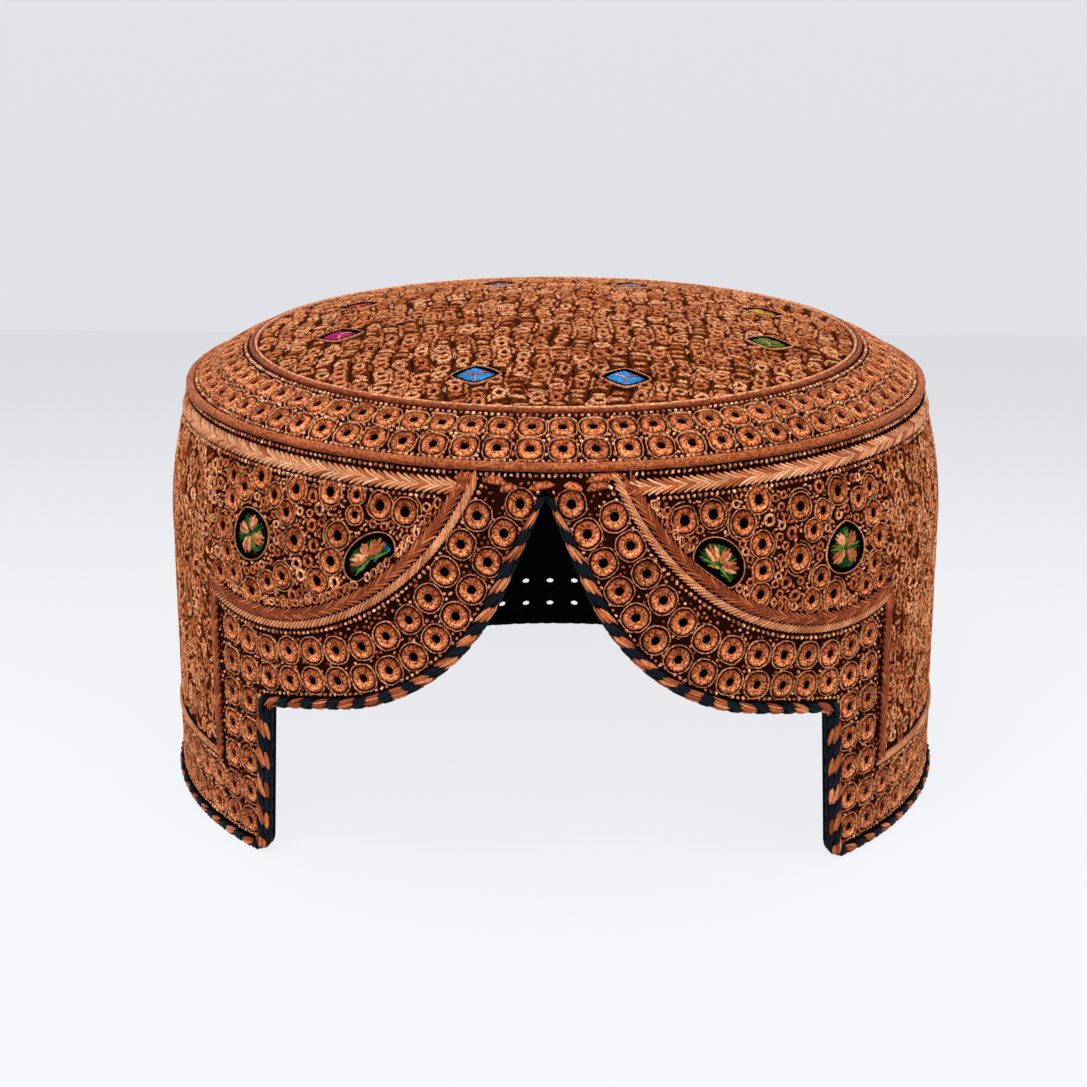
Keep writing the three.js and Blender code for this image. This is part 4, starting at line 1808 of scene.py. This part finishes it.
@dataclass
class Border:
    """Two rows of eyelets along the lower edge, on a ground of small knots."""

    insets: Pair = (6.5, 13.2)
    first: Pair = (3.6, 9.6)
    pitch: float = 7.05
    corners: Spots = ((0.4, 1.6), (0.8, 4.0))
    leaves: tuple[tuple[float, float, float, float], ...] = (
        (-20.0, 93.0, -14.6, 93.3), (-19.0, 91.0, -15.2, 91.5), (-13.2, 93.0, -8.4, 92.4),
        (-9.8, 91.0, -6.2, 91.9), (-3.6, 91.4, 1.9, 92.3), (3.9, 92.2, 7.8, 91.4),
        (8.7, 92.9, 17.4, 93.4), (8.8, 91.3, 13.8, 92.0), (14.8, 91.4, 19.0, 92.0),
    )
    squares: tuple[float, float, float] = (2.3, 3.2, 3.0)
    corner_reach: float = 16.0
    knot_pitch: float = 1.35
    knots_off_tape: float = 0.6
    knots_off_rope: float = 1.9
    top_knots: float = 94.15
    low_knots: float = 89.1
    low_knots_from: float = 24.0
    row_clear: float = 3.25
    fill_clear: float = 3.45
    fill_pitch: float = 1.4
    fill_share: float = 0.8

    def eyelets(self) -> Eyelets:
        """The eyelets of both rows, on both halves."""
        step = 0.1
        sets = []
        for inset, first, corner in zip(self.insets, self.first, self.corners):
            lobe, leg, base = EDGE.row(inset)
            left = lengths_along(lobe)[-1] - lengths_along(lobe)
            lobe = lobe + np.clip(1 - left / self.corner_reach, 0, 1)[:, None] ** 2 * np.array(corner)
            leg = np.stack([lobe[-1], leg[-1]])
            for part, (line, square) in enumerate(zip((lobe, leg, base), self.squares)):
                length = lengths_along(line)[-1]
                begin = first if part == 0 else 0.0
                end = length - self.pitch / 2 if part == 2 else length
                at = np.linspace(begin, end, int(round((end - begin) / self.pitch)) + 1)
                at = at if part == 0 else at[1:]
                centres = points_at(line, at)
                way = points_at(line, at + step) - points_at(line, at - step)
                turns = np.arctan2(way[:, 1], way[:, 0])
                sets.append(Eyelets.even(centres, turns, square))
                sets.append(Eyelets.even(mirrored(centres), math.pi - turns, square))
        return Eyelets.joined(sets)

    def knot_rows(self) -> Array:
        """Places of the knots that lie in rows: beside the tape, along the rope and along the plait."""
        leg_gap, front_gap = 2, 0.7
        pitch, end = self.knot_pitch, FORM.half_round
        half = EDGE.line()
        beside = spaced(moved_left(half, Binding().widths(half) + self.knots_off_tape), pitch)
        rope = spaced(PANEL.lobe(-self.knots_off_rope), pitch)
        rows = np.concatenate([
            beside,
            rope[rope[:, 0] < PANEL.leg - leg_gap],
            level_row(PANEL.leg, end, pitch, PANEL.base - self.knots_off_rope),
            level_row(front_gap, end, pitch, self.top_knots),
            level_row(self.low_knots_from, end, pitch, self.low_knots),
        ])
        return np.concatenate([rows, mirrored(rows)])

    def ground(self, eyelets: Eyelets) -> ThreadWork:
        """Works the knots between the eyelets, and the leaves over the peak.

        Args:
            eyelets: The eyelets of the border.

        Returns:
            The thread work.
        """
        work = ThreadWork(42)
        low, high, inset, top = 3, 94, 4.2, 93.2
        off_frame, off_leaves, off_rows = 2.0, 1.1, 0.95
        rows = self.knot_rows()
        rows = rows[clear_of(rows, eyelets.centres, self.row_clear)]
        fill = honeycomb((-FORM.half_round, low), (FORM.half_round, high), self.fill_pitch, work.rng)
        fill = fill[inside(fill, wall_outline(inset, top)) & PANEL.outside(fill, off_frame)]
        fill = fill[clear_of(fill, eyelets.centres, self.fill_clear)]
        fill = fill[work.rng.random(len(fill)) < self.fill_share]
        leaves = np.array(self.leaves)
        starts, ends = leaves[:, :2], leaves[:, 2:]
        along = starts[:, None] + (ends - starts)[:, None] * np.linspace(0, 1, 7)[:, None]
        fill = fill[clear_of(fill, along.reshape(-1, 2), off_leaves)]
        work.grains(starts, ends, 1.9, 0.9, Dye.COPPER, bow=0.1, section=Section.FULL)
        free = np.concatenate([clear_of(part, rows, off_rows) for part in np.array_split(fill, 8)])
        work.knots(rows, 0.48, 0.6, DOTS)
        work.knots(fill[free], 0.42, 0.5, DIM_DOTS)
        return work

    def build(self) -> list[Piece]:
        """Builds the eyelets and the knots between them."""
        eyelets = self.eyelets()
        work = ThreadWork(41)
        eyelets.stitch(work)
        ground = self.ground(eyelets)
        return [
            work.to_piece("border_eyelets", WALL, SATIN, "copper_thread"),
            ground.to_piece("border_knots", WALL, SILK, "copper_thread"),
        ]


@dataclass
class FrontPanels:
    """The two panels over the lobes, with their windows and eyelets, charted one by one."""

    left: Spots = (
        (69.0, 87.1), (79.3, 85.5), (74.4, 83.9), (63.9, 84.2), (57.5, 86.5), (59.7, 81.3),
        (78.5, 80.4), (56.7, 75.9), (60.0, 67.4), (64.5, 65.2), (70.0, 61.9), (76.8, 64.3),
        (79.2, 68.5), (82.6, 63.3), (81.4, 73.8), (48.0, 87.4), (41.2, 87.7), (35.2, 86.2),
        (29.3, 85.6), (41.2, 83.6), (45.0, 78.8), (46.5, 73.2), (49.9, 68.3),
    )
    right: Spots = (
        (29.8, 84.8), (36.3, 85.5), (43.3, 82.9), (47.5, 87.2), (47.5, 78.0), (47.5, 72.5),
        (46.8, 67.4), (58.3, 84.3), (64.7, 82.4), (61.4, 78.8), (57.0, 73.5), (69.8, 85.6),
        (76.4, 82.8), (81.0, 84.3), (81.3, 78.6), (83.1, 73.0), (81.0, 67.4), (62.9, 68.3),
        (60.4, 63.8), (66.9, 63.8), (78.0, 63.2), (83.7, 63.3),
    )
    moved: Spots = ((-1.1, 0.0), (-0.2, -0.5))
    eyelet_size: float = 0.95
    eyelets_apart: float = 6.1
    squareness: float = 2.4
    low: float = 50.0
    high: float = 91.0
    row_inset: float = 4.75
    row_pitch: float = 1.9

    def windows(self) -> list[Window]:
        """The four windows of the front."""
        greens = (Dye.LEAF, Dye.GREEN, Dye.LEAF, Dye.GOLD)
        tear, leaf, petals = WindowShape.TEARDROP, WindowShape.HALF_LEAF, WindowFill.PETALS
        along_lobe = math.radians(39)
        return [
            Window((-71.8, 74.6), tear, 10.2, 8.8, math.radians(30), greens, petals),
            Window((70.8, 72.8), tear, 10.2, 8.8, math.radians(-5), greens, petals),
            Window((-37.7, 74.7), leaf, 11.4, 6.2, along_lobe, (Dye.LEAF, Dye.GREEN, Dye.BLUE), petals),
            Window((36.4, 74.1), leaf, 10.2, 7.4, -along_lobe, greens, petals),
        ]

    def eyelets(self) -> Eyelets:
        """The eyelets of both panels."""
        left = mirrored(np.array(self.left)) + self.moved[0]
        centres = np.concatenate([left, np.array(self.right) + self.moved[1]])
        rng = np.random.default_rng(51)
        turns = rng.uniform(0, math.pi, len(centres))
        itself = 99 * np.eye(len(centres))
        apart = np.linalg.norm(centres[:, None] - centres, axis=2) + itself
        sizes = np.minimum(self.eyelet_size, apart.min(axis=1) / self.eyelets_apart)
        square = np.full(len(centres), self.squareness)
        return Eyelets(centres, turns, square, sizes, lip=1.42, lip_width=0.45, body=1.98, body_width=1.5)

    def arcs(self, eyelets: Eyelets, rng: Rng) -> Array:
        """Second, broken outlines round the eyelets.

        Args:
            eyelets: The eyelets of both panels.
            rng: Source of their places.

        Returns:
            The arcs that are clear of other eyelets, of the windows and of the frame, shape (m, 9, 2).
        """
        each, count, shortest, longest = 3, 9, 1.0, 2.4
        out, off_eyelets, off_frame, off_plait, off_panes = 0.8, 2.95, 4.2, 1.0, 1.7
        centres, sizes = (np.repeat(part, each, axis=0) for part in (eyelets.centres, eyelets.sizes))
        start = rng.uniform(0, ANY_TURN, (len(centres), 1))
        way = start + rng.uniform(shortest, longest, (len(centres), 1)) * np.linspace(0, 1, count)
        reach = (eyelets.outline * sizes + out)[:, None, None]
        paths = centres[:, None, :] + reach * ways_at(way)
        flat = paths.reshape(-1, 2)
        free = clear_of(flat, eyelets.centres, off_eyelets) & PANEL.in_front(flat, off_frame, off_plait)
        free &= off_windows(flat, self.windows(), off_panes)
        return paths[free.reshape(-1, count).all(axis=1)]

    def places(self, eyelets: Eyelets, rng: Rng, pitch: float, reach: float) -> Array:
        """Jittered places that are clear of the eyelets, the windows and the frame.

        Args:
            eyelets: The eyelets of both panels.
            rng: Source of the jitter.
            pitch: Distance between neighbours.
            reach: How much room each place needs.

        Returns:
            The places, shape (n, 2).
        """
        off_frame, off_plait, off_eyelets, off_panes, tuck = 4.1, 1.2, 2.85, 1.5, 0.8
        spots = honeycomb((-PANEL.leg, self.low), (PANEL.leg, self.high), pitch, rng)
        spots = spots[PANEL.in_front(spots, off_frame + tuck * reach, off_plait + tuck * reach)]
        spots = spots[clear_of(spots, eyelets.centres, off_eyelets + reach)]
        return spots[off_windows(spots, self.windows(), off_panes + reach)]

    def lobe_row(self, eyelets: Eyelets) -> Array:
        """Places of the row of small loops inside the frame."""
        row = spaced(PANEL.lobe(self.row_inset), self.row_pitch)
        row = np.concatenate([row, mirrored(row)])
        row = row[clear_of(row, eyelets.centres, 3.1) & PANEL.in_front(row, 4.0, 1.5)]
        return row[off_windows(row, self.windows(), 1.6)]

    def build(self) -> list[Piece]:
        """Builds the eyelets and the fill between them, and the windows."""
        eyelets = self.eyelets()
        work = ThreadWork(52)
        eyelets.stitch(work)
        rng = work.rng
        arcs = self.arcs(eyelets, rng)
        work.tubes(arcs, eyelets.cord_width, 0.55, Dye.BRIGHT_COPPER, Section.RIDGE, slant=0.5)
        large = self.places(eyelets, rng, pitch=4.2, reach=1.4)
        small = self.places(eyelets, rng, pitch=2.35, reach=0.9)
        small = small[clear_of(small, large, 2.35)]
        for rings, size in ((large, 0.5), (small, 0.34)):
            Eyelets.even(rings, np.zeros(len(rings)), 2.3, size).stitch_small(work)
        spots = self.places(eyelets, rng, pitch=1.12, reach=0.3)
        spots = spots[clear_of(spots, large, 1.85) & clear_of(spots, small, 1.35)]
        spots = spots[clear_of(spots, arcs.reshape(-1, 2), 0.55)]
        dash = rng.random(len(spots)) < 0.5
        half_dash = 0.62
        reach = half_dash * ways_at(rng.uniform(0, math.pi, np.count_nonzero(dash)))
        work.grains(spots[dash] - reach, spots[dash] + reach, 0.55, 0.6, FILLS, bow=0.2)
        work.knots(spots[~dash], 0.42, 0.6, FILLS)
        loops = small_loops(rng, self.lobe_row(eyelets), 0.8, 1.35)
        work.tubes(loops, 0.55, 0.6, FILLS, closed=True)
        panes = ThreadWork(81)
        for window in self.windows():
            window.stitch(panes)
        return [
            work.to_piece("front_panels", WALL, SILK, "copper_thread"),
            panes.to_piece("wall_windows", WALL, PANE, "embroidered_cloth"),
        ]


@dataclass
class SidePanels:
    """The long panel of fill round the sides and back, worked in two halves."""

    margin: float = 2.0
    leg_gap: float = 1.0
    fill: LadderField = LadderField(
        pitch=3.6, cell=2.3, loop=1.2, loop_width=0.95, rung=1.6, rung_width=1.3, lean=0.9, upright=1.25
    )

    def wanted(self, points: Array) -> Array:
        """Mask of the points that the fill may cover."""
        return PANEL.in_side(points, self.margin)

    def build(self) -> list[Piece]:
        """Builds the fill of each half."""
        made = []
        for sign, name in ((-1, "left"), (1, "right")):
            work = ThreadWork(61 + sign)
            low, high = sorted((sign * (PANEL.leg + self.leg_gap), sign * FORM.half_round))
            self.fill.stitch(work, (low, PANEL.base), (high, PANEL.under_plait), self.wanted)
            made.append(work.to_piece(f"side_fill_{name}", WALL, SILK, "copper_thread"))
        return made


@dataclass
class Crown:
    """The top: ladder fill with eight windows, and the shoulder's two rows of eyelets."""

    rows: Pair = (77.5, 83.8)
    count: int = 76
    places: Spots = (
        (-16.1, -52.4), (16.3, -53.6), (49.3, -20.0), (49.7, 12.4),
        (18.3, 38.5), (-15.2, 38.5), (-48.5, 17.2), (-49.6, -15.7),
    )
    window_size: Pair = (8.6, 7.8)
    back_window_size: Pair = (7.4, 11.0)
    back_windows: tuple[int, int] = (4, 5)
    squareness: float = 3.0
    eyelet_size: float = 0.98
    knot_pitch: float = 1.35
    knots_off_ring: float = 1.9
    knots_off_seam: float = 1.5
    fill_off_ring: float = 1.4
    fill_off_windows: float = 2.2
    fill: LadderField = LadderField(
        pitch=4.45, cell=3.0, loop=1.45, loop_width=1.1, rung_width=1.6, sway=0.6, height=0.55, upright=1.3
    )

    def windows(self) -> list[Window]:
        """The eight windows, in pairs to the front, right, back and left."""
        blue = (Dye.BLUE,)
        dyes = (blue, blue, (Dye.GREEN, Dye.LEAF), (Dye.GOLD,), blue, blue, (Dye.PINK,), (Dye.MAGENTA,))
        made = []
        for i, (centre, dye) in enumerate(zip(self.places, dyes)):
            size = self.back_window_size if i in self.back_windows else self.window_size
            made.append(Window(centre, WindowShape.DIAMOND, *size, 0.0, dye))
        return made

    def eyelets(self) -> Eyelets:
        """The eyelets of the shoulder, in radial pairs."""
        angle = (np.arange(self.count) + 0.5) * 2 * math.pi / self.count
        rows = [ways_at(angle) * reach for reach in self.rows]
        return Eyelets.joined([Eyelets.even(row, angle, self.squareness, self.eyelet_size) for row in rows])

    def knots(self, eyelets: Eyelets, rng: Rng) -> Array:
        """Places of the knots between the shoulder's eyelets and along its two edges.

        Args:
            eyelets: The eyelets of the shoulder.
            rng: Source of the jitter.

        Returns:
            The places, shape (n, 2).
        """
        off_ring, off_seam, off_eyelets = 2.9, 2.5, 3.3
        reach, inner = CROWN.seam_reach, CROWN.ring_reach
        spots = honeycomb((-reach, -reach), (reach, reach), self.knot_pitch, rng)
        far = np.hypot(spots[:, 0], spots[:, 1])
        spots = spots[(far > inner + off_ring) & (far < reach - off_seam)]
        parts = np.array_split(spots, 8)
        spots = spots[np.concatenate([clear_of(part, eyelets.centres, off_eyelets) for part in parts])]
        rings = [
            ring * ways_at(np.arange(0, 2 * math.pi, self.knot_pitch / ring))
            for ring in (inner + self.knots_off_ring, reach - self.knots_off_seam)
        ]
        return np.concatenate([spots, *rings])

    def wanted(self, points: Array) -> Array:
        """Mask of the points that the fill may cover."""
        inner = np.hypot(points[:, 0], points[:, 1]) < CROWN.ring_reach - self.fill_off_ring
        return inner & off_windows(points, self.windows(), self.fill_off_windows)

    def build(self) -> list[Piece]:
        """Builds the shoulder, the fill and the windows."""
        eyelets = self.eyelets()
        work = ThreadWork(71)
        eyelets.stitch(work)
        work.knots(self.knots(eyelets, work.rng), 0.46, 0.6, DOTS)
        fill = ThreadWork(72)
        edge = CROWN.ring_reach - self.fill_off_ring
        self.fill.stitch(fill, (-edge, -edge), (edge, edge), self.wanted)
        panes = ThreadWork(73)
        for window in self.windows():
            window.stitch(panes)
        return [
            work.to_piece("shoulder_eyelets", CROWN, SATIN, "copper_thread"),
            fill.to_piece("crown_fill", CROWN, SILK, "copper_thread"),
            panes.to_piece("crown_windows", CROWN, PANE, "embroidered_cloth"),
        ]


@dataclass
class Stage:
    """Camera, floor, backdrop and soft light. The view is in millimetres, the set in metres."""

    lens: float = 77.04
    distance: float = 567.1
    elevation: float = math.radians(17.488)
    azimuth: float = math.radians(1.567)
    target_across: float = -2.86
    target_height: float = 52.63
    wall_behind: float = 480.0
    set_reach: float = 4.0
    floor_glow: Pair = (0.862, 0.645)
    floor_cool: float = 0.05
    backdrop_glow: Pair = (0.7, 0.7)
    backdrop_cool: float = 0.07
    glow_from: float = -0.05
    glow_to: float = 0.45
    key_place: tuple[float, float, float] = (-0.35, -0.75, 1.5)
    fill_place: tuple[float, float, float] = (0.9, -1.0, 0.8)
    aim: tuple[float, float, float] = (0.0, 0.0, 0.06)
    sky: tuple[float, float, float, float] = (0.95, 0.97, 1.0, 1.0)
    sky_strength: float = 0.7

    def camera(self) -> None:
        """Puts the camera at the photograph's viewing angle."""
        data = bpy.data.cameras.new("camera")
        data.lens = self.lens
        data.sensor_width = 36.0
        data.clip_start, data.clip_end = 0.01, 50.0
        camera = in_scene("camera", data)
        az, el = self.azimuth, self.elevation
        across = self.target_across
        target = Vector((across * math.cos(az), across * math.sin(az), self.target_height))
        away = Vector((math.sin(az) * math.cos(el), -math.cos(az) * math.cos(el), math.sin(el)))
        camera.location = (target + away * self.distance) * MM
        camera.rotation_mode = "QUATERNION"
        camera.rotation_quaternion = (-away).to_track_quat("-Z", "Y")
        bpy.context.scene.camera = camera

    def paper(
        self, name: str, glow: Pair, cool: float, one_sided: bool
    ) -> Material:
        """Makes a pale paper that glows evenly, as on a light table.

        Args:
            name: Name of the material.
            glow: Brightness in front of the cap and behind it.
            cool: How much redder light is held back, from 0 to 1.
            one_sided: Whether it is seen through from behind.

        Returns:
            The material.
        """
        material = bpy.data.materials.new(name)
        material.use_nodes = True
        sheet = NodeSheet(material.node_tree)
        bsdf = material.node_tree.nodes["Principled BSDF"]
        bsdf.inputs["Roughness"].default_value = 0.9
        bsdf.inputs["Specular IOR Level"].default_value = 0.0
        bsdf.inputs["Base Color"].default_value = (0.1, 0.1, 0.1, 1.0)
        bsdf.inputs["Emission Color"].default_value = (1.0 - cool, 1.0 - cool * 0.75, 1.0, 1.0)
        place = sheet.add("ShaderNodeNewGeometry")
        parts = sheet.add("ShaderNodeSeparateXYZ")
        sheet.join(place.outputs["Position"], parts.inputs[0])
        glowing = (self.glow_from, self.glow_to)
        fade = sheet.ramp(parts.outputs[1], before=glowing, after=glow, kind="SMOOTHSTEP")
        sheet.join(fade, bsdf.inputs["Emission Strength"])
        if one_sided:
            out = material.node_tree.nodes["Material Output"]
            clear = sheet.add("ShaderNodeBsdfTransparent")
            mix = sheet.add("ShaderNodeMixShader")
            sheet.join(place.outputs["Backfacing"], mix.inputs[0])
            sheet.join(bsdf.outputs[0], mix.inputs[1])
            sheet.join(clear.outputs[0], mix.inputs[2])
            sheet.join(mix.outputs[0], out.inputs["Surface"])
        return material

    def sheet(self, name: str, corners: Sequence[Sequence[float]], material: Material) -> None:
        """Makes a flat stage sheet from its corners in metres."""
        mesh = bpy.data.meshes.new(name)
        mesh.from_pydata([tuple(c) for c in corners], [], [tuple(range(len(corners)))])
        mesh.materials.append(material)
        piece = in_scene(name, mesh)

    def light(self, name: str, place: Sequence[float], size: float, power: float) -> None:
        """Hangs a large soft lamp that looks at the cap.

        Args:
            name: Name of the lamp.
            place: Where it hangs.
            size: Its width.
            power: Its power in watts.
        """
        data = bpy.data.lights.new(name, "AREA")
        data.shape = "DISK"
        data.size = size
        data.energy = power
        lamp = in_scene(name, data)
        lamp.location = place
        aim = Vector(self.aim) - Vector(place)
        lamp.rotation_mode = "QUATERNION"
        lamp.rotation_quaternion = aim.to_track_quat("-Z", "Y")

    def build(self) -> None:
        """Sets the stage."""
        self.camera()
        far = self.set_reach
        back = self.wall_behind * MM
        floor = [(-far, -far, 0), (far, -far, 0), (far, far, 0), (-far, far, 0)]
        paper = self.paper("pale_floor", self.floor_glow, self.floor_cool, False)
        self.sheet("floor", floor, paper)
        wall = [(-far, back, 0), (far, back, 0), (far, back, 2 * far), (-far, back, 2 * far)]
        paper = self.paper("pale_backdrop", self.backdrop_glow, self.backdrop_cool, True)
        self.sheet("backdrop", wall, paper)
        self.light("key_lamp", self.key_place, size=0.7, power=12.0)
        self.light("fill_lamp", self.fill_place, size=1.0, power=4.0)
        world = bpy.data.worlds.new("studio")
        world.use_nodes = True
        background = world.node_tree.nodes["Background"]
        background.inputs["Color"].default_value = self.sky
        background.inputs["Strength"].default_value = self.sky_strength
        bpy.context.scene.world = world
        bpy.context.scene.view_settings.view_transform = "Standard"


def report(piece: Piece) -> None:
    """Logs a piece and its number of triangles."""
    piece.data.calc_loop_triangles()
    LOG.info("%s: %d triangles", piece.name, len(piece.data.loop_triangles))


def main() -> None:
    """Builds the cap piece by piece, and its stage."""
    logging.basicConfig(level=logging.INFO, format="%(name)s %(message)s")
    Stage().build()
    border, front, crown = Border(), FrontPanels(), Crown()
    wall_eyelets = Eyelets.joined([border.eyelets(), front.eyelets()])
    cloth = ClothLayers(wall_eyelets, crown.eyelets())
    for assembly in (cloth, Binding(), Braids(), border, front, SidePanels(), crown):
        for piece in assembly.build():
            report(piece)


if __name__ == "__main__":
    main()
